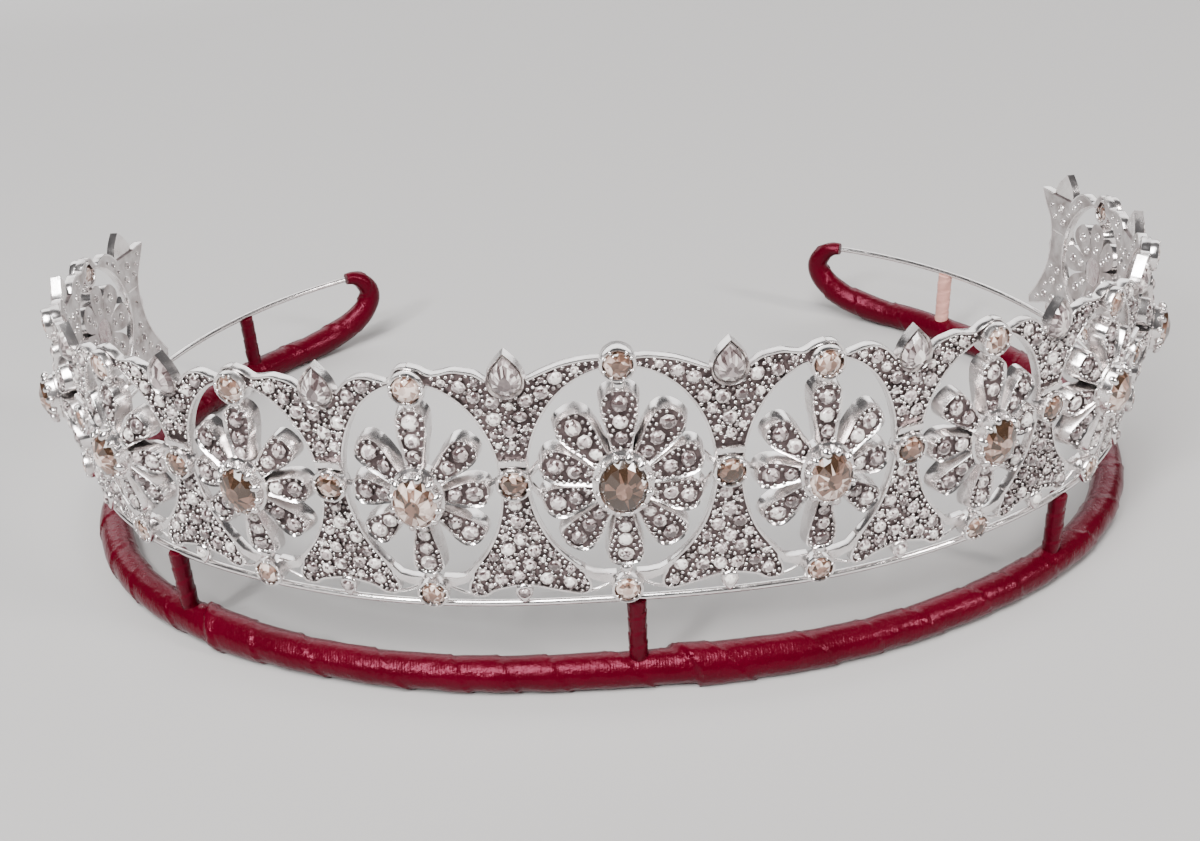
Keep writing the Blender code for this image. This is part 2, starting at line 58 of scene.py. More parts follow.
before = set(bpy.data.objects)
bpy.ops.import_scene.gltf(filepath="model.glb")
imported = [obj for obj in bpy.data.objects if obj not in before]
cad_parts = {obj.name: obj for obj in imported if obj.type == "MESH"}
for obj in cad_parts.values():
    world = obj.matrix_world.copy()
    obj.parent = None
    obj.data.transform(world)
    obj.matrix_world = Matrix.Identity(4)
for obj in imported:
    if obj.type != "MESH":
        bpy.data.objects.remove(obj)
CAD_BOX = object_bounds()

MM = 0.001

# Plan curve of the tiara, as in the solids: distance from the middle, curvature
PLAN_BENDS = ((0.0, 0.0027), (24.0, 0.0133), (48.0, 0.0105), (72.0, 0.0242), (96.0, 0.0239),
              (120.0, 0.0167), (164.0, 0.0158))
PLAN_STEP = 0.5

# Layout along the tiara, in millimetres
SIDE_MEDALLIONS = 5
CENTRE_PITCH = 24.0
SIDE_PITCH = 21.1
SIDE_PITCH_TAPER = 0.2
TIP_HEIGHT_MIDDLE = 34.4
TIP_DROP_PER_MEDALLION = 1.84
NECK_WIDTH = 2.9
OPENING_BOTTOM = 3.3
OPENING_BELOW_TIP = 2.8
CENTRE_OPENING_BELOW_TIP = 3.3
NOTCH_BELOW_TIP = 3.65
WING_BELOW_TIP = 1.95
BUMP_BELOW_TIP = 1.0
CENTRE_RIM_BELOW_TIP = 2.5
COLLET_RADIUS = 2.1
BOTTOM_COLLET_RADIUS = 1.95
BOTTOM_COLLET_HEIGHT = 2.2
TOP_COLLET_BELOW_TIP = 3.2
CENTRE_COLLET_BELOW_TIP = 2.8
WAIST_SHARE = 0.515
CENTRE_PETALS = 10
SIDE_PETALS = 8
CENTRE_PETAL_WIDTH = 4.7
SIDE_PETAL_WIDTH = 3.9
PETAL_INNER_SHARE = 0.27
PETAL_TAPER = 0.88
PETAL_MIDDLE_SHARE = 0.55
WIRE_RADIUS = 0.45
WIRE_GAP = 0.3
RAIL_END = 159.4
MEDALLIONS = range(-SIDE_MEDALLIONS, SIDE_MEDALLIONS + 1)
FLEURS = [index - 0.5 for index in range(-SIDE_MEDALLIONS, SIDE_MEDALLIONS + 2)]

# Small stones and bead grains, in millimetres
SMALL_STONE_SHARES = (1.0, 0.78, 0.6, 0.46)
RIM_MARGIN = 0.3
PETAL_MARGIN = 0.34
STONE_GAP = 0.24
GRAIN_GAP = 0.06
GRAIN_OVER_STONE = 0.19
GRAIN_OVER_RIM = 0.24
PACKING_STEP = 0.12
PACKING_UNEVENNESS = 0.12
GRAINS_ROUND_STONE = 7
STONE_RISE, GRAIN_RISE = 0.12, 0.14
PETAL_STONE_RISE, PETAL_GRAIN_RISE = 0.05, 0.1
THROUGH_RADIUS = 0.5

# Ribbon-wrapped band and posts, in millimetres. The band's tip is along, up, radius
BAND_DROP = 10.9
BAND_RADIUS = 2.25
BAND_TIP = ((150.0, -BAND_DROP, BAND_RADIUS), (155.0, -10.2, 2.3), (159.4, -8.8, 2.2),
            (162.6, -6.3, 2.0), (163.8, -3.5, 1.8), (162.7, -1.2, 1.5), (161.2, -0.2, 1.2),
            (159.7, 0.0, 1.0))
FRONT_TURNS = (-58.0, -51.2, -45.0, -35.0, -23.7, -17.9, -11.9, -5.7, 6.1, 18.4, 28.0, 32.5,
               42.6, 49.3, 53.8, 62.0)
BAND_TURN, BAND_TURNS_END = 8.5, 190.0
# Start and length of each overlap where a new ribbon begins
RIBBON_JOINS = ((-57.2, 16.0), (6.1, 26.0))
# Angle from the seam, low on the tube's back, round to its top, in radians
WINDING_START = 2.2
POST_RADIUS = 1.15
POST_TURN = 2.2
POST_STEP_HEIGHT = 0.1
POSTS = (("post_front", 1.0), ("post_left", -60.0), ("post_right", 60.0),
         ("post_back_left", -139.0), ("post_back_right", 139.0))

# Heights out of the face of the plate, in millimetres
PLATE_BACK = -0.55
PLATE_FRONT = 0.3
RIM_FRONT = 0.62
PETAL_BACK = -0.5
PETAL_FRONT = 2.0
PETAL_FLOOR = 1.66
PETAL_DOME = 0.9
COLLET_FRONT = 1.7
COLLET_STONE_HEIGHT = 1.42
CENTRE_SETTING_FRONT = 3.2
SIDE_SETTING_FRONT = 3.8
PEAR_BACK = -0.2
PEAR_FRONT = 1.05

# Settings and stones: half widths, half heights, radii and heights, in millimetres
CENTRE_SETTING_SIZE = (3.1, 3.9)
SIDE_SETTING_SIZE = (2.75, 3.55)
SIDE_SETTING_SHRINK = 0.035
SETTING_COVER = 0.9
COLLET_STONE_RADIUS = 1.64
BACK_STONE_OUT, BACK_STONE_SHARE = -0.9, 0.78
PEAR_MIDDLE = 3.4
DROP_HEIGHT = 1.95

# Fineness of the meshes, in millimetres or as a number of steps, and numbers of claws
MERGE_GAP = 0.0005
BEND_SLICE = 1.5
OPENING_STEPS = 40
PETAL_STEPS = 8
RAIL_STEPS = 240
BAND_SPACING, BAND_SIDES = 0.36, 72
POST_SPACING, POST_SIDES = 0.2, 36
COLLET_CLAWS = 8
CENTRE_CLAWS = 12

# Lightness of the stones, and colours that aren't settings
CENTRE_TINTS = (-0.25, 0.8, 0.2, 0.55, 0.4, 0.45)
TOP_TINT, BOTTOM_TINT, WAIST_TINT = 0.85, 0.65, 0.3
TINT_SPREAD = 0.3
RIBBON_WORN = (0.072, 0.0005, 0.007)
FADED_RIBBON = ((0.50, 0.24, 0.20), (0.62, 0.36, 0.30))

# Silver finishes: colour, dull colour, roughness, dull roughness, relief
SILVER_FINISHES = {
    "bright_silver": (None, (0.70, 0.655, 0.645), 0.16, 0.32, 0.35),
    "satin_silver": ((0.64, 0.61, 0.605), (0.36, 0.32, 0.31), 0.28, 0.45, 0.6),
    # The plate between the stones is darkened far below silver as painted shade between them; its
    # dull patches are real tarnish
    "worked_silver": ((0.15, 0.115, 0.115), (0.04, 0.03, 0.03), 0.3, 0.5, 0.8),
    # The dark colour of the bead grains is painted shade, given to some grains at random through
    # their tint
    "grain_silver": ((0.98, 0.955, 0.945), (0.27, 0.235, 0.23), 0.09, 0.3, 0.3),
}

# Studio: light sources as name, place, target, size in metres, power in watts, colour
WHITE = (1.0, 1.0, 1.0)
STUDIO_LIGHTS = (
    ("back", (0.0, 0.62, 0.42), (0.0, 0.0, 0.03), (1.7, 0.60), 8.0, WHITE),
    ("key", (-0.14, -0.34, 0.52), (0.0, -0.02, 0.02), (0.30, 0.24), 5.0, WHITE),
    ("fill", (-0.34, -0.46, 0.44), (0.0, -0.04, 0.02), (0.08, 0.08), 3.2, WHITE),
    ("side", (0.46, -0.28, 0.34), (0.0, 0.0, 0.02), (0.08, 0.16), 2.6, (1.0, 0.95, 0.93)),
)
DAYLIGHT_DIRECTION = (0.15, 0.3, -1.0)
DAYLIGHT_POWER, DAYLIGHT_SPREAD = 2.6, 25.0
WORLD_COLOUR = (0.62, 0.60, 0.62, 1.0)
WORLD_LIGHT, WORLD_SEEN = 0.14, 0.74
# The floor's colour by its distance from the middle, in units of 2 m; paler far out as painted
# light where the lamps no longer reach
FLOOR_STOPS = ((0.0, (0.36, 0.35, 0.345)), (0.2, (0.38, 0.37, 0.365)),
               (0.42, (0.60, 0.59, 0.585)), (0.7, (0.74, 0.73, 0.725)))
CAMERA_LENS = 40.5
CAMERA_PLACE = (-4.368, -127.459, 97.316)
CAMERA_TURNS = (0.998, -29.844, -3.130)

FRONT_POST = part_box("post_front")
FRONT_Y = (FRONT_POST[0].y + FRONT_POST[1].y) / 2 / MM
BASE_WIRE_HEIGHT = FRONT_POST[1].z / MM + WIRE_GAP + WIRE_RADIUS


# The bent layout

def walk_plan():
    """Rows (distance, x, y, heading) of one half of the plan curve."""
    reach, bends = zip(*PLAN_BENDS)
    rows = [(0.0, 0.0, 0.0, 0.0)]
    for _ in range(round(reach[-1] / PLAN_STEP) + 8):
        distance, x, y, heading = rows[-1]
        middle = heading + np.interp(distance, reach, bends) * PLAN_STEP / 2
        turn = np.interp(distance + PLAN_STEP / 2, reach, bends) * PLAN_STEP
        rows.append((distance + PLAN_STEP, x + math.cos(middle) * PLAN_STEP,
                     y + math.sin(middle) * PLAN_STEP, heading + turn))
    return np.array(rows).T


PLAN = walk_plan()


def bend_points(points):
    """World places in metres of flat points (along, up, out) in millimetres."""
    along, up, out = np.asarray(points, float).reshape(-1, 3).T
    reach, side = np.abs(along), np.where(along < 0, -1.0, 1.0)
    x, y, heading = (np.interp(reach, PLAN[0], row) for row in PLAN[1:])
    x, heading = side * x, side * heading
    x += np.sin(heading) * out
    y += FRONT_Y - np.cos(heading) * out
    return np.stack([x, y, up + BASE_WIRE_HEIGHT], axis=1) * MM


def frame_at(along, up, out, spin=0.0, size=1.0):
    """Matrix that stands a small piece, made in millimetres, on the bent tiara."""
    heading = math.copysign(np.interp(abs(along), PLAN[0], PLAN[3]), along)
    tangent = Vector((math.cos(heading), math.sin(heading), 0.0))
    outward = Vector((math.sin(heading), -math.cos(heading), 0.0))
    turn = Matrix((tangent, (0.0, 0.0, 1.0), outward)).transposed().to_4x4()
    place = shift(*bend_points([(along, up, out)])[0])
    return place @ turn @ Matrix.Rotation(spin, 4, "Z") @ Matrix.Scale(size * MM, 4)


def pitch_of(index):
    return SIDE_PITCH - SIDE_PITCH_TAPER * (abs(index) - 1) if index else CENTRE_PITCH


def centre_of(index):
    """Distance along the curve of a medallion, or of a half number for a fleur."""
    reach = abs(index)
    distance = 0.0 if reach < 0.5 else CENTRE_PITCH / 2
    for medallion in range(1, math.ceil(reach)):
        distance += pitch_of(medallion)
    if reach >= 1 and reach == int(reach):
        distance += pitch_of(reach) / 2
    return math.copysign(distance, index)


def tip_height(index):
    return TIP_HEIGHT_MIDDLE - TIP_DROP_PER_MEDALLION * abs(index)


def waist_height(index):
    return WAIST_SHARE * tip_height(index)


def top_collet_height(index):
    return tip_height(index) - (TOP_COLLET_BELOW_TIP if index else CENTRE_COLLET_BELOW_TIP)


def signed_name(prefix, index):
    if index == 0:
        return prefix + "_middle"
    return "%s_%s_%d" % (prefix, "left" if index < 0 else "right", math.ceil(abs(index)))


def opening_of(index):
    """Centre, middle height, half width and half height of a medallion's opening."""
    top = tip_height(index) - (OPENING_BELOW_TIP if index else CENTRE_OPENING_BELOW_TIP)
    half_width = (pitch_of(index) - NECK_WIDTH) / 2
    return centre_of(index), (top + OPENING_BOTTOM) / 2, half_width, (top - OPENING_BOTTOM) / 2


def flower_size(index):
    """Middle height, half width and half height of a medallion's flower."""
    upper = top_collet_height(index) - COLLET_RADIUS
    lower = BOTTOM_COLLET_HEIGHT + BOTTOM_COLLET_RADIUS
    rise, shrink = (0.5, 0.5) if index else (0.25, 0.8)
    return ((upper + lower) / 2 + rise, pitch_of(index) / 2 - COLLET_RADIUS - 0.4,
            (upper - lower) / 2 - shrink)


# Outlines in the flat layout

def beside(along, side, rows):
    """Points at distances (to one side, up) from a place along the tiara."""
    return [(along + side * away, up) for away, up in rows]


def smooth_path(points, steps=6):
    """Rounded path through all the points."""
    points = [np.array(point, float) for point in points]
    padded = [2 * points[0] - points[1], *points, 2 * points[-1] - points[-2]]
    path = []
    for a, b, c, d in zip(padded, padded[1:], padded[2:], padded[3:]):
        for step in range(steps):
            t = step / steps
            path.append(0.5 * (2 * b + (c - a) * t + (2 * a - 5 * b + 4 * c - d) * (t * t)
                               + (3 * b - a - 3 * c + d) * t ** 3))
    return path + [points[-1]]


def closed_outline(half):
    """Closed outline from its right half, whose ends are on the middle line."""
    return [tuple(point) for point in half] + [(-x, y) for x, y in half[-2:0:-1]]


def half_top_edge(fleur, side):
    """Scalloped top edge from a pear setting's side to the medallion on one side of it."""
    medallion = fleur + 0.5 * side
    start, end = centre_of(fleur), centre_of(medallion)
    tip, medallion_tip = tip_height(fleur), tip_height(medallion)
    notch = tip - NOTCH_BELOW_TIP
    if medallion == 0:
        rim = medallion_tip - CENTRE_RIM_BELOW_TIP
        shoulder = [(2.2, notch), (3.3, tip - 3.1), (4.7, tip - 2.5), (6.2, tip - 2.0)]
        return beside(start, side, shoulder) + beside(end, side, [(-3.4, rim), (-1.2, rim)])
    wing = (tip + medallion_tip) / 2 - WING_BELOW_TIP
    bump = medallion_tip - BUMP_BELOW_TIP
    shoulder = [(2.2, notch), (3.3, (notch + wing) / 2 + 0.2), (4.6, wing - 0.12)]
    return beside(start, side, shoulder) + beside(end, side, [
        (-4.7, wing), (-3.4, wing - 0.3), (-2.3, wing - 0.4), (-1.2, bump - 0.3), (0.0, bump)])


def end_edge(side):
    """Outer side of the last fleur, from its pear setting down to its lower leaf's tip."""
    fleur = side * (SIDE_MEDALLIONS + 0.5)
    start, tip, waist = centre_of(fleur), tip_height(fleur), waist_height(fleur)
    neck = NECK_WIDTH / 2
    upper = [(2.2, tip - NOTCH_BELOW_TIP), (3.4, tip - 3.5), (4.6, tip - 3.4)]
    flank = [(4.6, tip - 3.4), (3.6, tip - 5.2), (2.0, waist + 4.0), (neck, waist + 1.5),
             (neck, waist - 1.5), (1.9, waist - 4.2), (3.2, waist - 7.2), (5.0, 2.3)]
    return smooth_path(beside(start, side, upper)) + smooth_path(beside(start, side, flank))[1:]


def opening_side(index, side):
    """One side of an opening, from beside the top collet down to the crescent bar."""
    centre, middle, half_width, half_height = opening_of(index)
    top = math.acos(1.2 / half_width)
    bottom = -math.acos(min(1.0, 4.9 / half_width))
    path = []
    for step in range(OPENING_STEPS + 1):
        angle = top + (bottom - top) * step / OPENING_STEPS
        path.append((centre + side * half_width * math.cos(angle),
                     middle + half_height * math.sin(angle)))
    return path


def half_fleur(fleur, side):
    """Half outline of a fleur, in parts, from its top notch round to its middle below."""
    medallion = fleur + 0.5 * side
    start = centre_of(fleur)
    if abs(medallion) > SIDE_MEDALLIONS:
        under = beside(start, side, [(4.8, 1.35), (3.0, 2.0), (1.4, 2.75), (0.0, 2.95)])
        return [end_edge(side), smooth_path(under)]
    end = centre_of(medallion)
    leaf_tip = beside(end, side, [(-4.7, 3.9), (-4.35, 3.2), (-4.2, 2.5), (-4.3, 1.9),
                                  (-4.7, 1.45), (-5.2, 1.35)])
    under = [leaf_tip[-1], (end - side * 6.2, 1.55)]
    under += beside(start, side, [(3.4, 2.2), (1.4, 2.75), (0.0, 2.95)])
    return [smooth_path(half_top_edge(fleur, side)), opening_side(medallion, -side) + leaf_tip,
            smooth_path(under)[1:]]


def fleur_outline(fleur):
    """Closed outline of one fleur, clockwise from the notch on its right."""
    right, left = ([tuple(point) for part in half_fleur(fleur, side) for point in part]
                   for side in (1, -1))
    return right + left[::-1][1:]


def crescent_outline(index, side):
    """Flat bar beside a bottom collet, tapering out along the opening's rim."""
    centre, middle, half_width, half_height = opening_of(index)
    top = BOTTOM_COLLET_HEIGHT + 1.75

    def rim(reach, below=0.0):
        return reach, middle - half_height * math.sqrt(1 - (reach / half_width) ** 2) - below

    return beside(centre, side, [
        (1.2, top), (2.6, top + 0.02), (3.8, top + 0.3), rim(4.9, -0.1), rim(5.7, -0.1),
        rim(6.5), rim(6.0, 0.3), rim(5.2, 0.6), (4.2, top - 0.5), (2.9, top - 1.05),
        (1.2, top - 1.45)])


def petal_outline(length, width):
    """Petal along +X from its narrow inner end, round at its outer end."""
    half = width / 2
    cap = min(0.95 * half, 0.4 * length)
    start = length - cap
    upper = smooth_path([(0.0, 0.5 * half), (0.35 * start, 0.68 * half),
                         (0.72 * start, 0.92 * half), (start, half)], PETAL_STEPS)
    for step in range(1, PETAL_STEPS + 1):
        angle = math.pi / 2 * (1 - step / PETAL_STEPS)
        upper.append((start + cap * math.cos(angle) ** 0.8, half * math.sin(angle) ** 0.8))
    return [tuple(point) for point in upper] + [(x, -y) for x, y in upper[-2::-1]]


# Stones and grains packed into an outline

def distance_to(points, path):
    """Distance of each point to a closed polyline."""
    nearest = np.full(len(points), np.inf)
    for a, b in zip(path, np.roll(path, -1, axis=0)):
        run = b - a
        share = np.clip((points - a) @ run / max(run @ run, 1e-12), 0, 1)
        nearest = np.minimum(nearest, np.hypot(*(points - a - share[:, None] * run).T))
    return nearest


def inside(points, path):
    """Which points lie inside a closed polyline."""
    result = np.zeros(len(points), bool)
    for (ax, ay), (bx, by) in zip(path, np.roll(path, -1, axis=0)):
        if ay != by:
            crosses = (points[:, 1] < ay) != (points[:, 1] < by)
            result ^= crosses & (points[:, 0] < ax + (points[:, 1] - ay) * (bx - ax) / (by - ay))
    return result


def keep_clear(points, free, circles, overlap=0.0):
    """Room left at each point once it also keeps clear of the circles."""
    for x, y, radius in circles:
        free = np.minimum(free, np.hypot(*(points - (x, y)).T) - radius + overlap)
    return free


def pack_circles(points, free, radii, gap):
    """Circles packed one by one where each sits tightest, the larger sizes first."""
    uneven = np.random.default_rng(len(points)).random(len(points)) * PACKING_UNEVENNESS
    circles = []
    for radius in radii:
        while (free - radius).max() >= 0:
            slack = free - radius
            index = int(np.argmin(np.where(slack >= 0, slack + uneven, np.inf)))
            circles.append((*points[index], radius))
            free = keep_clear(points, free, circles[-1:], -gap)
    return circles


def pave(outline, radii, grain_radius, blocked=(), margin=RIM_MARGIN):
    """Stones and bead grains that fill an outline, clear of the blocked circles."""
    path = np.asarray(outline, float)
    grid = np.meshgrid(*(np.arange(low, high, PACKING_STEP)
                         for low, high in zip(path.min(0), path.max(0))))
    points = np.stack(grid, axis=-1).reshape(-1, 2)
    points = points[inside(points, path)]
    free = keep_clear(points, distance_to(points, path), blocked) - margin
    gems = pack_circles(points, free, radii, STONE_GAP)
    free = keep_clear(points, free + GRAIN_OVER_RIM, gems, GRAIN_OVER_STONE)
    return gems, pack_circles(points, free, [grain_radius, 0.8 * grain_radius], GRAIN_GAP)


# Meshes

def adjust(item, **settings):
    """Sets several properties of an item and hands it back."""
    for key, value in settings.items():
        setattr(item, key, value)
    return item


def shift(x, y, z=0.0):
    return Matrix.Translation((x, y, z))


def new_object(name, data):
    data.name = name
    item = bpy.data.objects.new(name, data)
    bpy.context.scene.collection.objects.link(item)
    return item


def object_mesh(data, out=0.0):
    """Mesh of a curve as it renders, moved out of the face; the curve is then removed."""
    item = new_object(data.name, data)
    graph = bpy.context.evaluated_depsgraph_get()
    mesh = bpy.data.meshes.new_from_object(item.evaluated_get(graph), depsgraph=graph)
    bpy.data.objects.remove(item)
    bpy.data.curves.remove(data)
    mesh.transform(shift(0.0, 0.0, out))
    return mesh


def new_curve(name, path, closed, **settings):
    """Closed flat curve, or open curve, through the points of a path."""
    curve = bpy.data.curves.new(name, "CURVE")
    adjust(curve, dimensions="2D" if closed else "3D", **settings)
    spline = curve.splines.new("POLY")
    spline.points.add(len(path) - 1)
    for point, place in zip(spline.points, path):
        point.co = (place[0], place[1], place[2] if len(place) > 2 else 0.0, 1.0)
    spline.use_cyclic_u = closed
    return curve


def plate_mesh(outline, front, bevel=0.07):
    """Flat plate with eased edges from one closed outline."""
    half = (front - PLATE_BACK) / 2
    curve = new_curve("plate", outline, True, fill_mode="BOTH", offset=-bevel,
                      extrude=half - bevel, bevel_depth=bevel, bevel_resolution=1)
    return object_mesh(curve, (front + PLATE_BACK) / 2)


def band_mesh(path, width):
    """Upright band that follows a flat path, with rounded front and back edges."""
    height = RIM_FRONT - PLATE_BACK
    round_off = min(width, height) * 0.3
    half_width, half_height = width / 2 - round_off, height / 2 - round_off
    corners = []
    for start, side_x, side_y in ((0, 1, 1), (90, -1, 1), (180, -1, -1), (270, 1, -1)):
        for step in (0, 45, 90):
            angle = math.radians(start + step)
            corners.append((side_x * half_width + round_off * math.cos(angle),
                            side_y * half_height + round_off * math.sin(angle)))
    section = new_curve("profile", corners, True, fill_mode="NONE")
    profile = new_object("profile", section)
    curve = new_curve("band", path, False, twist_mode="Z_UP", use_fill_caps=True,
                      bevel_mode="OBJECT", bevel_object=profile)
    mesh = object_mesh(curve, (RIM_FRONT + PLATE_BACK) / 2)
    bpy.data.objects.remove(profile)
    bpy.data.curves.remove(section)
    return mesh


def wire_mesh(path, radius):
    """Round wire along a flat path."""
    return object_mesh(new_curve("wire", path, False, twist_mode="Z_UP", use_fill_caps=True,
                                 bevel_depth=radius, bevel_resolution=2))


def finished_mesh(work):
    """Mesh from a bmesh, which is then freed."""
    mesh = bpy.data.meshes.new("part")
    work.to_mesh(mesh)
    work.free()
    return mesh


def add_part(work, part, place=None):
    """Adds a mesh or another bmesh to a bmesh and drops it."""
    mesh = finished_mesh(part) if isinstance(part, bmesh.types.BMesh) else part
    if place is not None:
        mesh.transform(place)
    work.from_mesh(mesh)
    bpy.data.meshes.remove(mesh)


def slice_along(work):
    """Cuts across the tiara, close enough together for the bend."""
    along = [vertex.co.x for vertex in work.verts]
    first = math.floor(min(along) / BEND_SLICE) * BEND_SLICE
    for cut in np.arange(first, max(along), BEND_SLICE):
        bmesh.ops.bisect_plane(work, geom=work.verts[:] + work.edges[:] + work.faces[:],
                               dist=0.0001, plane_co=(cut, 0.0, 0.0), plane_no=(1.0, 0.0, 0.0))


def bend_mesh(work):
    """Mesh in world metres from a bmesh made in the flat layout."""
    bmesh.ops.remove_doubles(work, verts=work.verts, dist=MERGE_GAP)
    bmesh.ops.recalc_face_normals(work, faces=work.faces)
    for vertex, place in zip(work.verts, bend_points([vertex.co for vertex in work.verts])):
        vertex.co = place
    return finished_mesh(work)


def tone_facets(mesh, tints, painted_reflection_tones):
    """Keeps each copy's tint and each facet's tone, a painted reflection, for the materials."""
    for name, domain, values in (("tint", "POINT", tints), ("facet", "FACE", painted_reflection_tones)):
        layer = mesh.attributes.new(name, "FLOAT", domain)
        layer.data.foreach_set("value", np.asarray(values, np.float32))


def copies_mesh(template, places, seed, wobble=0.0, shades=None):
    """One mesh of many slightly tilted copies of a small shape, each with its own tint."""
    random = np.random.default_rng(seed)
    count = len(places)
    tilts = random.normal(0.0, wobble, (count, 2))
    matrices = np.array([np.array(place @ Euler((*tilt, 0.0)).to_matrix().to_4x4())
                         for place, tilt in zip(places, tilts)])
    corners = np.array([(*vertex.co, 1.0) for vertex in template.verts])
    template.verts.index_update()
    loops = np.array([vertex.index for face in template.faces for vertex in face.verts])
    sizes = np.array([len(face.verts) for face in template.faces])
    starts = np.cumsum(sizes) - sizes
    template.free()
    points = np.einsum("nij,kj->nki", matrices, corners)[:, :, :3]
    numbers = np.arange(count)[:, None]
    mesh = bpy.data.meshes.new("copies")
    mesh.vertices.add(count * len(corners))
    mesh.loops.add(count * len(loops))
    mesh.polygons.add(count * len(sizes))
    mesh.vertices.foreach_set("co", points.ravel())
    mesh.loops.foreach_set("vertex_index", (loops + numbers * len(corners)).ravel())
    mesh.polygons.foreach_set("loop_start", (starts + numbers * len(loops)).ravel())
    mesh.update(calc_edges=True)
    # Tints are each stone's own lightness, and on the bead grains a painted shade; the random
    # facet tones are painted reflections on the stones
    tints = random.random(count)
    if shades is not None:
        tints = np.array(shades) + TINT_SPREAD * (tints - 0.5)
    tone_facets(mesh, np.repeat(tints, len(corners)), random.random(count * len(sizes)))
    return mesh


def cut_stone(outline, crown, depth, table=0.52, centre=(0.0, 0.0)):
    """Faceted stone over a girdle outline: a table, star and main facets, and a short back."""
    work = bmesh.new()

    def corner(x, y, share, height):
        work.verts.new((centre[0] + (x - centre[0]) * share,
                        centre[1] + (y - centre[1]) * share, height))

    for share, height in ((1.0, 0.0), (table, crown), (0.3, -depth), (0.96, -0.12 * crown)):
        for x, y in outline:
            corner(x, y, share, height)
    for (ax, ay), (bx, by) in zip(outline, outline[1:] + outline[:1]):
        corner((ax + bx) / 2, (ay + by) / 2, 0.82, crown * 0.62)
    hull = bmesh.ops.convex_hull(work, input=work.verts)
    unused = {item for item in hull["geom_interior"] + hull["geom_unused"]
              if isinstance(item, bmesh.types.BMVert)}
    bmesh.ops.delete(work, geom=list(unused), context="VERTS")
    bmesh.ops.dissolve_limit(work, angle_limit=math.radians(1.0), verts=work.verts,
                             edges=work.edges)
    bmesh.ops.recalc_face_normals(work, faces=work.faces)
    return work


def ring_points(sides, half_width=1.0, half_height=1.0):
    """Corners of a round or oval stone."""
    angles = [2 * math.pi * (step + 0.5) / sides for step in range(sides)]
    return [(half_width * math.cos(angle), half_height * math.sin(angle)) for angle in angles]


def turned_bmesh(profile, sides):
    """Closed shape turned about Z from a profile of (radius, height) down its outer side."""
    work = bmesh.new()
    verts = [work.verts.new((radius, 0.0, height)) for radius, height in profile]
    edges = [work.edges.new(pair) for pair in zip(verts, verts[1:])]
    bmesh.ops.spin(work, geom=verts + edges, cent=(0, 0, 0), axis=(0, 0, 1),
                   angle=2 * math.pi, steps=sides, use_merge=True)
    bmesh.ops.remove_doubles(work, verts=work.verts, dist=MERGE_GAP)
    bmesh.ops.recalc_face_normals(work, faces=work.faces)
    return work


def ball_bmesh(subdivisions, radius=1.0, stretch=(1.0, 1.0, 1.0)):
    work = bmesh.new()
    bmesh.ops.create_icosphere(work, subdivisions=subdivisions, radius=radius)
    bmesh.ops.scale(work, vec=stretch, verts=work.verts)
    return work


def raised_tray(outline, back, front, taper, middle, rim, sink):
    """Tray with slanting walls, a rim and a sunk floor; also its base face and floor face."""
    work = bmesh.new()
    base = work.faces.new([work.verts.new((x, y, back)) for x, y in outline])
    lifted = bmesh.ops.extrude_face_region(work, geom=[base])["geom"]
    top = [item for item in lifted if isinstance(item, bmesh.types.BMVert)]
    floor = [item for item in lifted if isinstance(item, bmesh.types.BMFace)][0]
    bmesh.ops.translate(work, vec=(0.0, 0.0, front - back), verts=top)
    bmesh.ops.scale(work, vec=(*taper, 1.0), verts=top, space=shift(*middle))
    bmesh.ops.inset_region(work, faces=[floor], thickness=rim, use_even_offset=True)
    bmesh.ops.translate(work, vec=(0.0, 0.0, -sink), verts=floor.verts)
    return work, base, floor


def show_piece(name, mesh, materials, smooth=None, replaced=()):
    """Adds a finished piece to the scene, riding on the tiara's one body."""
    if isinstance(mesh, bmesh.types.BMesh):
        mesh = bend_mesh(mesh)
    if smooth is not None:
        mesh.shade_smooth()
        mesh.set_sharp_from_angle(angle=math.radians(smooth))
    for material in materials:
        mesh.materials.append(material)
    item = new_object(name, mesh)
    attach(item, "root")
    if replaced:
        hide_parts(*replaced)


def show_silver(name, mesh, smooth, finishes=("bright_silver",), replaced=()):
    materials = [silver_material(finish) for finish in finishes]
    show_piece(name, mesh, materials, smooth, replaced)


def show_stones(name, mesh, material=None, replaced=()):
    show_piece(name, mesh, [material or pave_stone()], replaced=replaced)


# Node groups and materials

def fill_inputs(tree, node, values):
    """Sets a node's inputs to plain values, or links them to other nodes' outputs."""
    for key, value in values.items():
        if isinstance(value, bpy.types.NodeSocket):
            tree.links.new(value, node.inputs[key])
        else:
            node.inputs[key].default_value = value


def add_node(tree, kind, inputs=None, **settings):
    """New node in a place of its own, with its settings and inputs."""
    node = tree.nodes.new(kind)
    row, column = divmod(len(tree.nodes), 5)
    node.location = (240 * column - 1300, -300 * row)
    adjust(node, **settings)
    fill_inputs(tree, node, inputs or {})
    return node


def new_group(name, inputs, outputs):
    """Shader group that reads a vector and float inputs, and its two end nodes."""
    tree = bpy.data.node_groups.new(name, "ShaderNodeTree")
    tree.interface.new_socket("Vector", in_out="INPUT", socket_type="NodeSocketVector")
    for label in inputs:
        socket = tree.interface.new_socket(label, in_out="INPUT", socket_type="NodeSocketFloat")
        socket.default_value = 0.5
    for label in outputs:
        tree.interface.new_socket(label, in_out="OUTPUT", socket_type="NodeSocketFloat")
    return tree, add_node(tree, "NodeGroupInput").outputs, add_node(tree, "NodeGroupOutput")


def noise(tree, vector, scale, detail):
    return add_node(tree, "ShaderNodeTexNoise", {
        "Vector": vector, "Scale": scale, "Detail": detail, "Roughness": 0.55}).outputs["Fac"]


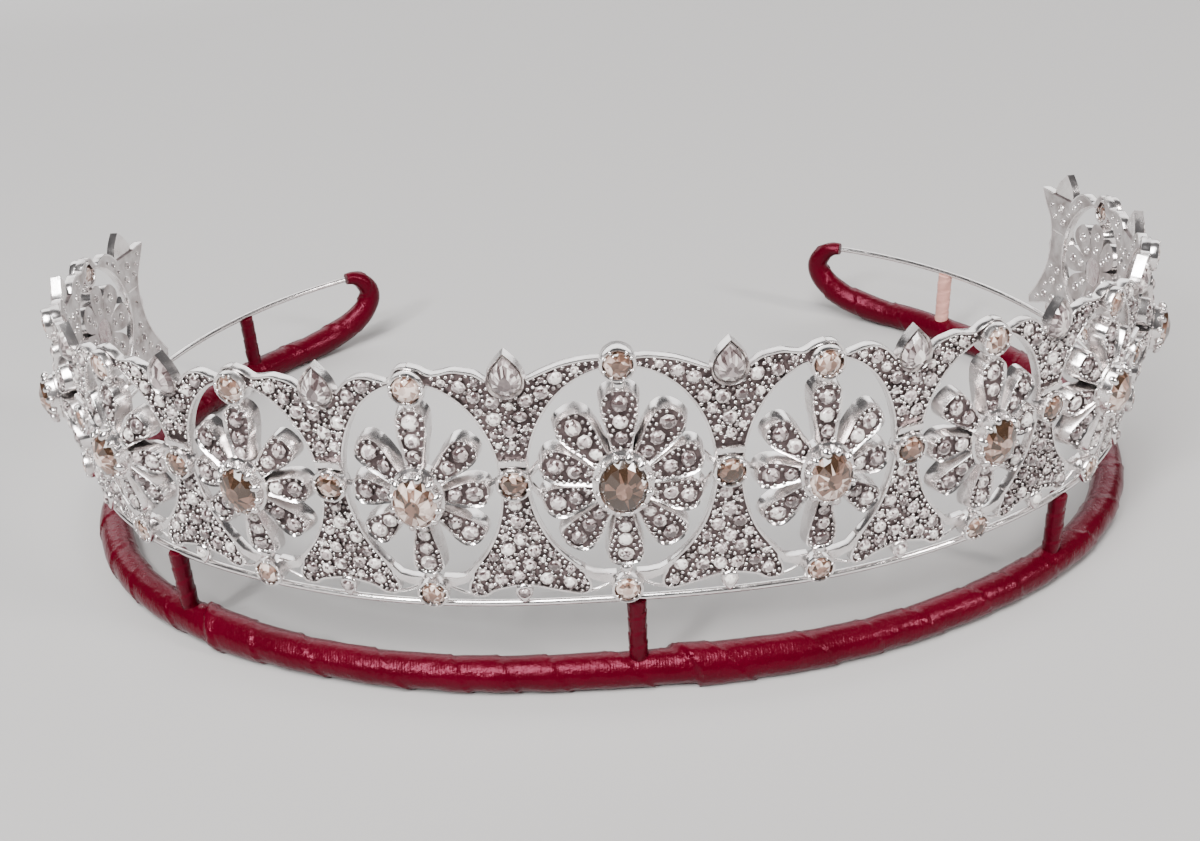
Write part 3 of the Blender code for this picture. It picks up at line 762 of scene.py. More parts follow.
def ramp(tree, source, stops):
    """Colour ramp with stops of (position, colour)."""
    node = add_node(tree, "ShaderNodeValToRGB", {"Fac": source})
    elements = node.color_ramp.elements
    while len(elements) < len(stops):
        elements.new(0.5)
    for element, (position, colour) in zip(elements, stops):
        element.position = position
        element.color = (*colour, 1.0)
    return node.outputs["Color"]


def mask(tree, source, low, high):
    return ramp(tree, source, ((low, (0, 0, 0)), (high, (1, 1, 1))))


def math_node(tree, operation, first, second):
    return add_node(tree, "ShaderNodeMath", {0: first, 1: second},
                    operation=operation).outputs["Value"]


def spread(tree, source, low, high):
    """Maps a mask from 0 to 1 onto low to high."""
    return add_node(tree, "ShaderNodeMapRange", {
        "Value": source, "To Min": low, "To Max": high}).outputs["Result"]


def mix_colours(tree, factor, first, second):
    node = add_node(tree, "ShaderNodeMix", {"Factor": factor}, data_type="RGBA")
    for socket, colour in zip([s for s in node.inputs if s.type == "RGBA"], (first, second)):
        socket.default_value = (*colour, 1.0)
    return [s for s in node.outputs if s.type == "RGBA"][0]


def bump(tree, height, strength, distance):
    return add_node(tree, "ShaderNodeBump", {
        "Strength": strength, "Distance": distance, "Height": height}).outputs["Normal"]


def attribute(tree, name):
    return add_node(tree, "ShaderNodeAttribute", attribute_name=name).outputs["Fac"]


def metal_wear_group():
    """Dull patches and a fine hand-worked surface for silver."""
    tree, source, sink = new_group("metal_wear", (), ("Tarnish", "Relief"))
    place = source["Vector"]
    fine = math_node(tree, "MULTIPLY", noise(tree, place, 5200.0, 2.0), 0.25)
    fill_inputs(tree, sink, {
        "Tarnish": mask(tree, noise(tree, place, 420.0, 4.0), 0.42, 0.68),
        "Relief": math_node(tree, "ADD", noise(tree, place, 900.0, 2.0), fine)})
    return tree


def stone_body_group():
    """Light and dark patches inside a cut stone: painted reflections from its facet tones, with
    random cloudy patches and the stone's own tint.
    """
    tree, source, sink = new_group("stone_body", ("Tint", "Facet"), ("Cloud", "Glint"))
    cells = add_node(tree, "ShaderNodeTexVoronoi",
                     {"Vector": source["Vector"], "Scale": 950.0}, distance="MANHATTAN")
    patch = add_node(tree, "ShaderNodeSeparateColor", {"Color": cells.outputs["Color"]}).outputs
    total = math_node(tree, "MULTIPLY", noise(tree, source["Vector"], 1200.0, 1.0), 0.14)
    for value, weight in ((patch["Red"], 0.26), (source["Facet"], 0.48), (source["Tint"], 0.34)):
        total = math_node(tree, "ADD", total, math_node(tree, "MULTIPLY", value, weight))
    fill_inputs(tree, sink, {"Cloud": math_node(tree, "SUBTRACT", total, 0.12),
                             "Glint": mask(tree, patch["Green"], 0.6, 0.9)})
    return tree


def ribbon_weave_group():
    """Satin ribs across the ribbon, puckers along it and uneven dye."""
    tree, source, sink = new_group("ribbon_weave", (), ("Relief", "Dye", "Glitter"))
    place = source["Vector"]
    ribs = add_node(tree, "ShaderNodeTexWave",
                    {"Vector": place, "Scale": 900.0, "Distortion": 1.5},
                    wave_type="BANDS", bands_direction="X")
    ribs = math_node(tree, "MULTIPLY", ribs.outputs["Fac"], 0.06)
    fill_inputs(tree, sink, {
        "Relief": math_node(tree, "ADD", ribs, noise(tree, place, 1300.0, 3.0)),
        "Dye": noise(tree, place, 160.0, 3.0),
        "Glitter": mask(tree, noise(tree, place, 2600.0, 1.0), 0.62, 0.72)})
    return tree


def start_material(name, group_name, make_group):
    """Material, its tree and shader, and the shared group fed by object coordinates."""
    material = bpy.data.materials.new(name)
    material.use_nodes = True
    tree = material.node_tree
    place = add_node(tree, "ShaderNodeTexCoord").outputs["Object"]
    shared = bpy.data.node_groups.get(group_name) or make_group()
    group = add_node(tree, "ShaderNodeGroup", node_tree=shared)
    fill_inputs(tree, group, {"Vector": place})
    return material, tree, tree.nodes["Principled BSDF"], group


def silver_material(name):
    """One of the silver finishes, with tarnished patches; the bead grains are instead darkened
    from one grain to the next, as painted shade on some of them.
    """
    if name in bpy.data.materials:
        return bpy.data.materials[name]
    colour, dull_colour, roughness, dull_roughness, relief = SILVER_FINISHES[name]
    material, tree, shader, wear = start_material(name, "metal_wear", metal_wear_group)
    # Tarnish patches are real; on the bead grains each grain's tint paints shade on some of them
    tarnish_and_grain_shade = attribute(tree, "tint") if name == "grain_silver" else wear.outputs["Tarnish"]
    fill_inputs(tree, shader, {
        "Metallic": 1.0,
        "Base Color": mix_colours(tree, tarnish_and_grain_shade, colour or silver().colour, dull_colour),
        "Roughness": spread(tree, tarnish_and_grain_shade, roughness, dull_roughness),
        "Normal": bump(tree, wear.outputs["Relief"], relief, 0.00006)})
    return material


def stone_material(name, light, dark, painted_glint, ior):
    """Cut stone with dark, light and glinting facets, painted into its colour as painted
    reflections and painted glints.
    """
    if name in bpy.data.materials:
        return bpy.data.materials[name]
    material, tree, shader, body = start_material(name, "stone_body", stone_body_group)
    fill_inputs(tree, body, {"Tint": attribute(tree, "tint"), "Facet": attribute(tree, "facet")})
    # The last stop is a painted glint; the dark and light facets are painted reflections over the
    # stone's own colours
    stops = [(0.32, dark), (0.54, light), (0.74, painted_glint)]
    fill_inputs(tree, shader, {
        "Base Color": ramp(tree, body.outputs["Cloud"], stops),
        "Roughness": spread(tree, body.outputs["Glint"], 0.03, 0.11),
        "IOR": ior,
        "Transmission Weight": 0.12,
        "Coat Weight": 0.6,
        "Coat Roughness": 0.02})
    return material


# Each stone's third colour is the painted glint of its brightest facets
def champagne_stone():
    return stone_material("cut_champagne", stones().champagne, stones().champagne_deep,
                          (0.90, 0.74, 0.66), 1.6)


def pave_stone():
    return stone_material("pave_stone", stones().pave, (0.075, 0.05, 0.05), (0.97, 0.93, 0.88),
                          1.9)


def ribbon_material(name, deep, worn):
    """Satin ribbon, paler where it is worn."""
    if name in bpy.data.materials:
        return bpy.data.materials[name]
    material, tree, shader, weave = start_material(name, "ribbon_weave", ribbon_weave_group)
    fill_inputs(tree, shader, {
        "Base Color": mix_colours(tree, weave.outputs["Dye"], deep, worn),
        "Roughness": spread(tree, weave.outputs["Glitter"], 0.25, 0.1),
        "IOR": 1.3,
        "Specular IOR Level": 0.7,
        "Specular Tint": (1.0, 0.25, 0.4, 1.0),
        "Normal": bump(tree, weave.outputs["Relief"], 0.8, 0.00015)})
    return material


def red_ribbon():
    return ribbon_material("wound_ribbon", ribbon().colour, RIBBON_WORN)


# Settings that a user would change

class TiaraSilver(bpy.types.PropertyGroup):
    colour: bpy.props.FloatVectorProperty(
        name="Silver", description="Colour of the polished silver", subtype="COLOR", size=3,
        min=0.0, max=1.0, default=(0.90, 0.87, 0.86))
    rim_width: bpy.props.FloatProperty(
        name="Rim width", description="Width of the milled rim round each opening, in mm",
        default=0.32, min=0.2, max=0.8)
    grain_radius: bpy.props.FloatProperty(
        name="Bead grain", description="Radius of the bead grains between the stones, in mm",
        default=0.28, min=0.12, max=0.4)


class TiaraStones(bpy.types.PropertyGroup):
    champagne: bpy.props.FloatVectorProperty(
        name="Collet stones", description="Colour of the larger pinkish-brown stones",
        subtype="COLOR", size=3, min=0.0, max=1.0, default=(0.27, 0.15, 0.11))
    champagne_deep: bpy.props.FloatVectorProperty(
        name="Depth of the collet stones", description="Their darkest colour",
        subtype="COLOR", size=3, min=0.0, max=1.0, default=(0.042, 0.022, 0.012))
    pave: bpy.props.FloatVectorProperty(
        name="Small stones", description="Colour of the small stones",
        subtype="COLOR", size=3, min=0.0, max=1.0, default=(0.46, 0.385, 0.38))
    pave_radius: bpy.props.FloatProperty(
        name="Small stone radius", description="Radius of the largest small stones, in mm",
        default=0.9, min=0.5, max=1.1)


class TiaraRibbon(bpy.types.PropertyGroup):
    colour: bpy.props.FloatVectorProperty(
        name="Ribbon", description="Colour of the wound ribbon", subtype="COLOR", size=3,
        min=0.0, max=1.0, default=(0.038, 0.0001, 0.0026))
    thickness: bpy.props.FloatProperty(
        name="Overlap", description="Height of the step at each overlap of the ribbon, in mm",
        default=0.16, min=0.0, max=0.6)


def silver():
    return bpy.context.scene.tiara_silver


def stones():
    return bpy.context.scene.tiara_stones


def ribbon():
    return bpy.context.scene.tiara_ribbon


# Operators, one for each piece or group of like pieces

class TIARA_OT_openwork(bpy.types.Operator):
    """Pierced fleurs and flat crescent bars, in place of the soldered solid"""

    bl_idname = "tiara.openwork"
    bl_label = "Pierced openwork"

    def execute(self, context):
        work, bars = bmesh.new(), bmesh.new()
        for fleur in FLEURS:
            part = bmesh.new()
            add_part(part, plate_mesh(fleur_outline(fleur), PLATE_FRONT))
            slice_along(part)
            for face in part.faces:
                face.normal_update()
                # Front and edges take the silver darkened as painted shade between the stones;
                # the back takes satin silver
                face.material_index = int(face.normal.z < -0.5)
            add_part(work, part)
        show_silver("openwork", work, 35, ("worked_silver", "satin_silver"), ["metalwork"])
        for index in MEDALLIONS:
            for side in (-1, 1):
                add_part(bars, plate_mesh(crescent_outline(index, side), RIM_FRONT))
        show_silver("crescent_bars", bars, 35)
        return {"FINISHED"}


class TIARA_OT_rims(bpy.types.Operator):
    """Milled rims round the openings and along the scalloped top edge"""

    bl_idname = "tiara.rims"
    bl_label = "Milled rims"

    def execute(self, context):
        work = bmesh.new()
        for fleur in FLEURS:
            for side in (-1, 1):
                for path in half_fleur(fleur, side):
                    add_part(work, band_mesh(path, silver().rim_width))
        show_silver("milled_rims", work, 40)
        return {"FINISHED"}


def petal_places(index):
    """Length, width and flat place (x, y, angle) of each petal of a medallion."""
    middle, half_width, half_height = flower_size(index)
    count = SIDE_PETALS if index else CENTRE_PETALS
    width = SIDE_PETAL_WIDTH if index else CENTRE_PETAL_WIDTH
    shrink = min(1.0, half_height / (0.95 * half_width))
    for number in range(count):
        angle = math.pi / 2 + 2 * math.pi * number / count
        height = half_height + (0.5 if index and math.sin(angle) < -0.1 else 0.0)
        reach = 1 / math.hypot(math.cos(angle) / half_width, math.sin(angle) / height)
        inner = PETAL_INNER_SHARE * reach
        yield (reach - inner, width * shrink, centre_of(index) + inner * math.cos(angle),
               middle + inner * math.sin(angle), angle)


def petal_tray(length, width):
    """Tray of one petal, along +X, with a thin rim round the floor for its stones."""
    work, base, floor = raised_tray(
        petal_outline(length, width), PETAL_BACK, PETAL_FRONT, (PETAL_TAPER, PETAL_TAPER),
        (-length * PETAL_MIDDLE_SHARE, 0.0), 0.27, PETAL_FRONT - PETAL_FLOOR)
    # The floor between the petal's stones takes the silver darkened as painted shade
    floor.material_index = 1
    rim = [edge for edge in work.edges if len(edge.link_faces) == 2
           and all(v.co.z > PETAL_FRONT - 0.001 for v in edge.verts)]
    bmesh.ops.bevel(work, geom=rim, affect="EDGES", offset=0.06, segments=2, profile=0.5,
                    material=-1)
    base.material_index = 2
    for vertex in work.verts:
        if vertex.co.z > 0:
            vertex.co.z += petal_slope(vertex.co.x, length)
    return work


def petal_slope(reach, length):
    """How far a petal's front stands up at its inner end and lies back at its tip."""
    return PETAL_DOME * (0.4 - reach / length)


def petal_matrix(x, y, angle):
    return shift(x, y) @ Matrix.Rotation(angle, 4, "Z")


class TIARA_OT_petals(bpy.types.Operator):
    """Raised petal trays of every flower, with the links that hold them"""

    bl_idname = "tiara.petals"
    bl_label = "Petals"

    def execute(self, context):
        work = bmesh.new()
        for index in MEDALLIONS:
            for length, width, x, y, angle in petal_places(index):
                add_part(work, petal_tray(length, width), petal_matrix(x, y, angle))
            self.add_links(work, index)
        show_silver("petals", work, 35, ("bright_silver", "worked_silver", "satin_silver"))
        return {"FINISHED"}

    def add_links(self, work, index):
        middle, half_width, half_height = flower_size(index)
        centre = centre_of(index)
        for turn in (-1, 1):
            height = middle + turn * (half_height + 0.15)
            path = [(centre, height - turn * 0.8, 0.3), (centre, height + turn * 1.3, 0.3)]
            add_part(work, wire_mesh(path, 0.6))
            add_part(work, ball_bmesh(3, 0.75), shift(centre, height, 0.85))
        for side in (-1, 1):
            waist = waist_height(index + 0.5 * side)
            edge = centre + side * (pitch_of(index) / 2 - COLLET_RADIUS + 0.3)
            if index == 0:
                for turn in (-1, 1):
                    inner = (centre + side * 8.9, middle + turn * 2.4, 0.2)
                    add_part(work, wire_mesh([inner, (edge, waist + turn * 0.7, 0.2)], 0.42))
            else:
                inner = (centre + side * (half_width - 1.0), middle, 0.2)
                add_part(work, wire_mesh([inner, (edge, waist, 0.2)], 0.45))


class TIARA_OT_pave(bpy.types.Operator):
    """Small stones and bead grains that fill the fleurs and the petals"""

    bl_idname = "tiara.pave"
    bl_label = "Small stones and grains"

    def execute(self, context):
        radii = [stones().pave_radius * share for share in SMALL_STONE_SHARES]
        grain = silver().grain_radius
        fleur_gems, fleur_beads, fleur_backs = self.fill_fleurs(radii, grain)
        petal_gems, petal_beads, petal_backs = self.fill_petals(radii, grain)
        for name, places in (("fleur_stones", fleur_gems), ("petal_stones", petal_gems)):
            stone = cut_stone(ring_points(8), 0.5, 0.5, 0.4)
            show_stones(name, copies_mesh(stone, places, 3, 0.1))
        for name, places in (("fleur_grains", fleur_beads), ("petal_grains", petal_beads)):
            show_silver(name, copies_mesh(ball_bmesh(1), places, 5), 180, ("grain_silver",))
        self.add_backs(fleur_backs + petal_backs)
        return {"FINISHED"}

    def add_backs(self, places):
        """Drilled rims behind the stones, each with the stone's point showing in it."""
        rim = [(0.46, 0.06), (0.52, -0.1), (0.64, -0.13), (0.76, 0.06), (0.46, 0.06)]
        show_silver("back_rims", copies_mesh(turned_bmesh(rim, 10), places, 6), 50)
        turned = [place @ Matrix.Rotation(math.pi, 4, "X") for place in places]
        stone = cut_stone(ring_points(6, 0.5, 0.5), 0.12, 0.05, 0.3)
        show_stones("back_stones", copies_mesh(stone, turned, 9))

    def fill_fleurs(self, radii, grain):
        gems, beads, backs = [], [], []
        for fleur in FLEURS:
            centre, waist, tip = centre_of(fleur), waist_height(fleur), tip_height(fleur)
            blocked = [(centre, waist, COLLET_RADIUS), (centre, waist + 2.6, 0.8),
                       (centre - 1.1, waist + 2.6, 0.6), (centre + 1.1, waist + 2.6, 0.6),
                       (centre, tip - 3.6, 2.0), (centre, tip - 2.9, 1.8)]
            blocked += [(centre_of(medallion), top_collet_height(medallion), COLLET_RADIUS)
                        for medallion in (fleur - 0.5, fleur + 0.5)
                        if abs(medallion) <= SIDE_MEDALLIONS]
            large = [(centre, waist - 5.6, 1.0), (centre, waist + 6.4, 0.95)]
            blocked += [(x, y, radius + STONE_GAP - RIM_MARGIN) for x, y, radius in large]
            found, fillers = pave(fleur_outline(fleur), radii, grain, blocked)
            found += large
            for x, y, radius in large:
                for step in range(GRAINS_ROUND_STONE):
                    angle = 2 * math.pi * (step + 0.3) / GRAINS_ROUND_STONE
                    fillers.append((x + (radius + GRAIN_GAP) * math.cos(angle),
                                    y + (radius + GRAIN_GAP) * math.sin(angle), grain))
            gems += [frame_at(x, y, PLATE_FRONT + STONE_RISE, x + y, r) for x, y, r in found]
            beads += [frame_at(x, y, PLATE_FRONT + GRAIN_RISE, size=r) for x, y, r in fillers]
            backs += [frame_at(x, y, PLATE_BACK, size=r) for x, y, r in found
                      if r > THROUGH_RADIUS]
        return gems, beads, backs

    def fill_petals(self, radii, grain):
        gems, beads, backs = [], [], []
        for index in MEDALLIONS:
            half_width, half_height = setting_size(index)
            for length, width, x, y, angle in petal_places(index):
                middle = length * PETAL_MIDDLE_SHARE
                outline = [((px - middle) * PETAL_TAPER + middle, py * PETAL_TAPER)
                           for px, py in petal_outline(length, width)]
                row = self.petal_row(length, width)
                blocked = [(px, py, r + STONE_GAP - PETAL_MARGIN) for px, py, r in row]
                found, fillers = pave(outline, radii[-1:], grain, blocked, PETAL_MARGIN)
                turn = petal_matrix(x, y, angle)
                lean = Matrix.Rotation(math.atan(PETAL_DOME / length), 4, "Y")
                for items, target, out in ((found + row, gems, PETAL_STONE_RISE),
                                           (fillers, beads, PETAL_GRAIN_RISE)):
                    for px, py, r in items:
                        place = turn @ Vector((px, py, 0.0))
                        share = math.hypot((place.x - centre_of(index)) / half_width,
                                           (place.y - flower_size(index)[0]) / half_height)
                        if share > SETTING_COVER:
                            height = PETAL_FLOOR + out + petal_slope(px, length)
                            stand = frame_at(place.x, place.y, height, angle, r)
                            target.append(stand @ lean @ Matrix.Rotation(px + py, 4, "Z"))
                            if r > THROUGH_RADIUS:
                                backs.append(frame_at(place.x, place.y, PETAL_BACK, size=r))
        return gems, beads, backs

    def petal_row(self, length, width):
        """Stones one behind the other along a petal, smaller towards its inner end."""
        radius = min(0.44 * PETAL_TAPER * width - PETAL_MARGIN, 1.05)
        place = length * (0.55 + 0.45 * PETAL_TAPER) - 0.55 - radius
        row = []
        while place > 0.16 * length:
            row.append((place, 0.0, radius))
            place -= radius * 1.88 + 0.16
            radius *= 0.88
        return row


def collet_places():
    """Place along, height, size and tint of the medallions' collets, then the fleurs'."""
    low = BOTTOM_COLLET_RADIUS / COLLET_RADIUS
    for index in MEDALLIONS:
        yield centre_of(index), top_collet_height(index), 1.0, TOP_TINT
        yield centre_of(index), BOTTOM_COLLET_HEIGHT, low, BOTTOM_TINT
    for index in FLEURS:
        yield centre_of(index), waist_height(index), 1.0, WAIST_TINT


class TIARA_OT_collets(bpy.types.Operator):
    """Round collets at the top, waist and foot of each bay, with their grooved bars"""

    bl_idname = "tiara.collets"
    bl_label = "Collets"

    def execute(self, context):
        radius = COLLET_RADIUS
        profile = [(0.0, 0.9), (radius - 0.6, 0.95), (radius - 0.5, 1.35),
                   (radius - 0.42, COLLET_FRONT - 0.08), (radius - 0.27, COLLET_FRONT),
                   (radius - 0.1, COLLET_FRONT - 0.06), (radius, COLLET_FRONT - 0.4),
                   (radius - 0.18, PLATE_BACK + 0.1), (radius - 0.28, PLATE_BACK),
                   (radius - 0.62, PLATE_BACK), (radius - 0.75, PLATE_BACK + 0.5),
                   (0.0, PLATE_BACK + 0.5)]
        matrices = [frame_at(x, y, 0.0, size=size) for x, y, size, _ in collet_places()]
        show_silver("collets", copies_mesh(turned_bmesh(profile, 28), matrices, 7), 40)

        claw = ball_bmesh(2, 0.24, (1.25, 0.8, 0.9))
        bmesh.ops.translate(claw, vec=(radius - 0.42, 0.0, COLLET_FRONT - 0.04), verts=claw.verts)
        claws = []
        for number, (x, y, size, _) in enumerate(collet_places()):
            for step in range(COLLET_CLAWS):
                turn = math.radians(360 / COLLET_CLAWS * step + 20
                                    + 13 * math.sin(7 * number + 3 * step))
                claws.append(frame_at(x, y, 0.0, turn, size))
        show_silver("collet_claws", copies_mesh(claw, claws, 8), 180)

        work = bmesh.new()
        for index in FLEURS:
            x, y = centre_of(index), waist_height(index) + COLLET_RADIUS + 0.45
            bar = [(x - 1.7, y - 0.5), (x + 1.7, y - 0.5), (x + 1.6, y + 0.45),
                   (x - 1.6, y + 0.45)]
            add_part(work, plate_mesh(bar, 1.3, 0.36))
        show_silver("waist_bars", work, 40)
        return {"FINISHED"}


class TIARA_OT_collet_stones(bpy.types.Operator):
    """Round cut stones of the collets"""

    bl_idname = "tiara.collet_stones"
    bl_label = "Collet stones"

    def execute(self, context):
        replaced = [signed_name("top_stone", index) for index in MEDALLIONS]
        replaced += [signed_name("waist_stone", index) for index in FLEURS]
        places = [frame_at(x, y, COLLET_STONE_HEIGHT * size, x, COLLET_STONE_RADIUS * size)
                  for x, y, size, _ in collet_places()]
        shades = [tint for _, _, _, tint in collet_places()]
        back = shift(0.0, 0.0, BACK_STONE_OUT) @ Matrix.Rotation(math.pi, 4, "X")
        places += [place @ back @ Matrix.Scale(BACK_STONE_SHARE, 4) for place in places]
        stone = cut_stone(ring_points(9), 0.36, 0.3, table=0.42)
        mesh = copies_mesh(stone, places, 11, 0.06, shades * 2)
        show_stones("collet_stones", mesh, champagne_stone(), replaced)
        return {"FINISHED"}


def setting_size(index):
    """Half width and half height of a centre stone's setting."""
    if index == 0:
        return CENTRE_SETTING_SIZE
    shrink = 1.0 - SIDE_SETTING_SHRINK * (abs(index) - 1)
    return [shrink * size for size in SIDE_SETTING_SIZE]


class TIARA_OT_centre_settings(bpy.types.Operator):
    """Oval claw settings and stones in the middle of the flowers"""

    bl_idname = "tiara.centre_settings"
    bl_label = "Centre stones"

    def execute(self, context):
        work, gems, claws = bmesh.new(), bmesh.new(), bmesh.new()
        tints = []
        random = np.random.default_rng(23)
        for index in MEDALLIONS:
            half_width, half_height = setting_size(index)
            front = SIDE_SETTING_FRONT if index else CENTRE_SETTING_FRONT
            x, y = centre_of(index), flower_size(index)[0] + (0.0 if index else 0.3)
            profile = [(0.0, front - 1.0), (0.8, front - 0.95), (0.84, front - 0.25),
                       (0.88, front - 0.12), (0.93, front - 0.2), (0.96, front - 0.6),
                       (1.0, PETAL_FRONT + 0.55), (1.1, PETAL_FRONT + 0.4),
                       (1.12, PETAL_FRONT + 0.1), (0.9, PETAL_FRONT - 0.4),
                       (0.82, PETAL_BACK), (0.0, PETAL_BACK)]
            size = Matrix.Diagonal((half_width, half_height, 1.0, 1.0))
            add_part(work, turned_bmesh(profile, 36), shift(x, y) @ size)
            outline = ring_points(14, half_width * 0.86, half_height * 0.88)
            stone = cut_stone(outline, 1.25, 0.7, table=0.34)
            tints += [CENTRE_TINTS[abs(index)]] * len(stone.verts)
            add_part(gems, stone, shift(x, y, front - 0.3))
            for px, py in ring_points(CENTRE_CLAWS, half_width, half_height):
                claw = ball_bmesh(2, random.uniform(0.75, 1.25), (0.62, 0.42, 0.34))
                turn = Matrix.Rotation(math.atan2(py, px) + random.normal(0, 0.2), 4, "Z")
                dip = Matrix.Rotation(math.radians(38), 4, "Y")
                place = shift(x + px * 0.96, y + py * 0.96, front - 0.22)
                add_part(claws, claw, place @ turn @ dip)
        show_silver("centre_settings", work, 40)
        mesh = bend_mesh(gems)
        # Facet tones are painted reflections, and facets that face upward are painted darker as
        # painted shade
        painted_reflection_tones = np.random.default_rng(17).random(len(mesh.polygons)) * 0.95
        lean = np.array([face.normal.z for face in mesh.polygons])
        tone_facets(mesh, tints, painted_reflection_tones - 0.55 * lean + 0.02)
        show_stones("centre_stones", mesh, champagne_stone(),
                    [signed_name("centre_stone", index) for index in MEDALLIONS])
        show_silver("centre_claws", claws, 50)
        return {"FINISHED"}


class TIARA_OT_pears(bpy.types.Operator):
    """Pointed pear settings on the top edge and small drops above the base wire"""

    bl_idname = "tiara.pears"
    bl_label = "Pears and drops"

    def execute(self, context):
        work, gems = bmesh.new(), bmesh.new()
        outline = closed_outline(smooth_path([
            (0.0, 0.0), (0.55, -0.55), (1.35, -1.45), (1.9, -2.4), (2.15, -3.5), (1.9, -4.6),
            (1.1, -5.4), (0.0, -5.7)], 4))
        inner = [(px * 0.8, -PEAR_MIDDLE + (py + PEAR_MIDDLE) * 0.8) for px, py in outline[::3]]
        for index in FLEURS:
            x, y = centre_of(index), tip_height(index)
            tray = raised_tray(outline, PEAR_BACK, PEAR_FRONT, (0.95, 0.96), (0.0, PEAR_MIDDLE),
                               0.32, 0.4)[0]
            add_part(work, tray, shift(x, y))
            stone = cut_stone(inner, 0.9, 0.3, table=0.4, centre=(0.0, -3.7))
            add_part(gems, stone, shift(x, y, PEAR_FRONT - 0.25))
        show_silver("pear_settings", work, 40)
        mesh = bend_mesh(gems)
        random = np.random.default_rng(19)
        # Random facet tones, painted reflections on the pear stones
        tone_facets(mesh, np.full(len(mesh.vertices), 0.4), random.random(len(mesh.polygons)))
        show_stones("pear_stones", mesh)
        self.add_drops()
        return {"FINISHED"}

    def add_drops(self):
        outline = closed_outline(smooth_path([(0.0, -1.6), (0.6, -0.85), (1.05, 0.1), (0.8, 1.0),
                                              (0.0, 1.35)], 3))
        work = bmesh.new()
        for index in FLEURS:
            plate = plate_mesh(outline, 1.0, 0.3)
            add_part(work, plate, shift(centre_of(index), DROP_HEIGHT))
        show_silver("drop_settings", work, 50)
        places = [frame_at(centre_of(index), DROP_HEIGHT + 0.1, 0.95, size=0.82)
                  for index in FLEURS]
        stone = cut_stone(ring_points(8), 0.5, 0.3)
        show_stones("drop_stones", copies_mesh(stone, places, 14, 0.08))


class TIARA_OT_wires(bpy.types.Operator):
    """Base wire with its bare rail ends, and the fine arcs beside the bottom collets"""

    bl_idname = "tiara.wires"
    bl_label = "Wires"

    def execute(self, context):
        work = bmesh.new()
        path = [(x, 0.0, 0.0) for x in np.linspace(-RAIL_END, RAIL_END, RAIL_STEPS)]
        add_part(work, wire_mesh(path, WIRE_RADIUS))
        for index in MEDALLIONS:
            for side in (-1, 1):
                arc = smooth_path(beside(centre_of(index), side, [
                    (4.6, 1.4), (3.6, 1.62), (2.7, 2.0), (1.7, 2.5)]), 4)
                add_part(work, wire_mesh([(x, y, 0.1) for x, y in arc], 0.2))
        show_silver("wires", work, 60)
        return {"FINISHED"}


# Wound ribbon

def reach_along(points):
    """Distance along a path to each of its points, in its first two columns."""
    return np.concatenate([[0.0], np.cumsum(np.hypot(*np.diff(points[:, :2], axis=0).T))])


def even_path(points, spacing):
    """Points at even distances along a path, whose first two columns are its places."""
    points = np.array(points, float)
    reach = reach_along(points)
    places = np.linspace(0.0, reach[-1], round(reach[-1] / spacing))
    return np.stack([np.interp(places, reach, column) for column in points.T], axis=1)


def band_turns(seed):
    """Edges of the band's turns, as on the front and then unevenly spaced to both ends."""
    random = np.random.default_rng(seed)
    turns = list(FRONT_TURNS)
    while turns[-1] < BAND_TURNS_END:
        turns.append(turns[-1] + BAND_TURN * random.uniform(0.7, 1.35))
    while turns[0] > -BAND_TURNS_END:
        turns.insert(0, turns[0] - BAND_TURN * random.uniform(0.7, 1.35))
    return np.array(turns)


def puckers(along, angle, count, seed):
    """Soft unevenness round and along a wound tube, roughly from -1 to 1."""
    random = np.random.default_rng(seed)
    total = np.zeros(np.broadcast(along, angle).shape)
    for _ in range(count):
        around = random.integers(-4, 5)
        pace = random.uniform(0.25, 2.1)
        weight = 1.0 / (1.0 + pace + 0.25 * abs(around))
        total += weight * np.sin(pace * along + around * angle + random.uniform(0, 2 * math.pi))
    return total / count ** 0.5


